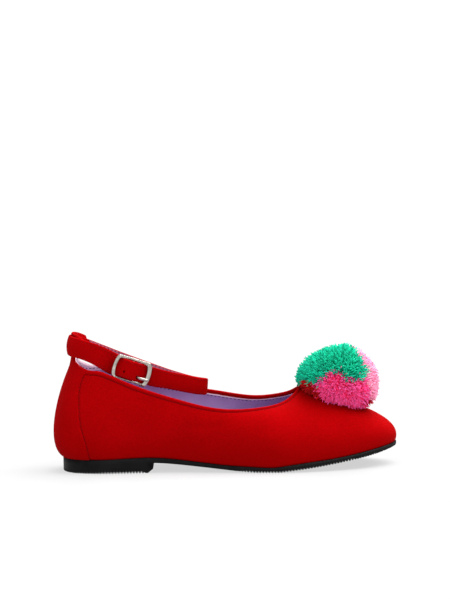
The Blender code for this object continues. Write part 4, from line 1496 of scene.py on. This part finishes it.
def add_sun(name, strength, angle, way):
    """A soft overhead light that shines along way."""
    light = bpy.data.lights.new(name, "SUN")
    light.energy = strength
    light.angle = math.radians(angle)
    linked(name, light).rotation_euler = Vector(way).to_track_quat("-Z", "Y").to_euler()


def build_world():
    """White round the horizon, darker above it and lighter again overhead."""
    world = bpy.data.worlds.new("studio")
    bpy.context.scene.world = world
    world.use_nodes = True
    nodes = world.node_tree.nodes
    links = world.node_tree.links
    split = nodes.new("ShaderNodeSeparateXYZ")
    links.new(nodes.new("ShaderNodeTexCoord").outputs["Generated"], split.inputs["Vector"])
    ramp = nodes.new("ShaderNodeValToRGB")
    set_stops(ramp, [(height, grey(shade)) for height, shade in WORLD_BANDS])
    links.new(split.outputs["Z"], ramp.inputs["Fac"])
    links.new(ramp.outputs["Color"], nodes["Background"].inputs["Color"])
    nodes["Background"].inputs["Strength"].default_value = WORLD_STRENGTH


def build_camera():
    """The photograph's view: nearly level, from the outer side, a little rolled."""
    lens = bpy.data.cameras.new("camera")
    lens.sensor_width = SENSOR
    lens.lens = LENS
    lens.clip_end = CAMERA_SIGHT
    tilt = math.radians(CAMERA_ELEVATION)
    view = Vector((0.0, math.cos(tilt), -math.sin(tilt)))
    raised = Vector((0.0, math.sin(tilt), math.cos(tilt)))
    back = view * CAMERA_DISTANCE * MM
    facing = (back + raised * CAMERA_LIFT * MM).to_track_quat("-Z", "Y").to_matrix().to_4x4()
    roll = Matrix.Rotation(math.radians(CAMERA_ROLL), 4, "Z")
    made = linked("camera", lens)
    made.matrix_world = Matrix.Translation(Vector(CAMERA_TARGET) * MM - back) @ facing @ roll
    bpy.context.scene.camera = made


def dress(piece, slot, *materials):
    for material in materials:
        piece.data.materials.append(material)
    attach(piece, "root")


def dress_leather_pieces():
    """The upper, the sole, the insole and the strap."""
    leathers = {name: leather(name, *tones) for name, tones in LEATHERS.items()}
    upper = build_upper()
    dress(upper, "red_suede", suede("red_suede"), leathers["lilac_lining"], leathers["cut_edge"])
    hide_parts("upper")
    outsole = build_outsole()
    dress(outsole, "black_rubber", rubber("black_rubber", *RUBBER))
    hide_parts("outsole")
    insole = build_insole()
    dress(insole, "lilac_leather", leathers["lilac_lining"])
    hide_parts("insole")
    strap = build_strap()
    dress(strap, "strap_suede", suede("strap_suede"), leathers["strap_lining"])
    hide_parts("ankle_strap")


def dress_buckle():
    metal = nickel("nickel", *NICKEL)
    rim = build_rim()
    dress(rim, "nickel", metal)
    dress(build_centre_bar(), "nickel", metal)
    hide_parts("buckle_frame")
    prong = build_prong()
    dress(prong, "nickel", metal)
    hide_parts("buckle_prong")


def dress_stitches():
    threads = {name: thread(name, *tones) for name, tones in THREADS.items()}
    for name, sewn in build_stitches().items():
        dress(sewn, "red_suede", threads[SEWING[name].thread])


def dress_pompom(cad_upper):
    yarns = {name: yarn("yarn_" + name, *tones) for name, tones in YARNS.items()}
    pompom = build_pompom(cad_upper)
    for name, material in yarns.items():
        dress(pompom[name], "yarn", material)
    dress(pompom["core"], "yarn", *yarns.values())
    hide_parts("pompom")


def build_studio():
    build_floor()
    build_world()
    for sun in SUNS:
        add_sun(*sun)
    build_camera()
    bpy.context.scene.view_settings.view_transform = "Standard"


def main():
    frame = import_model()
    dress_leather_pieces()
    dress_buckle()
    dress_stitches()
    dress_pompom(frame["nodes"]["upper"])
    build_studio()
    bpy.context.view_layer.update()


main()
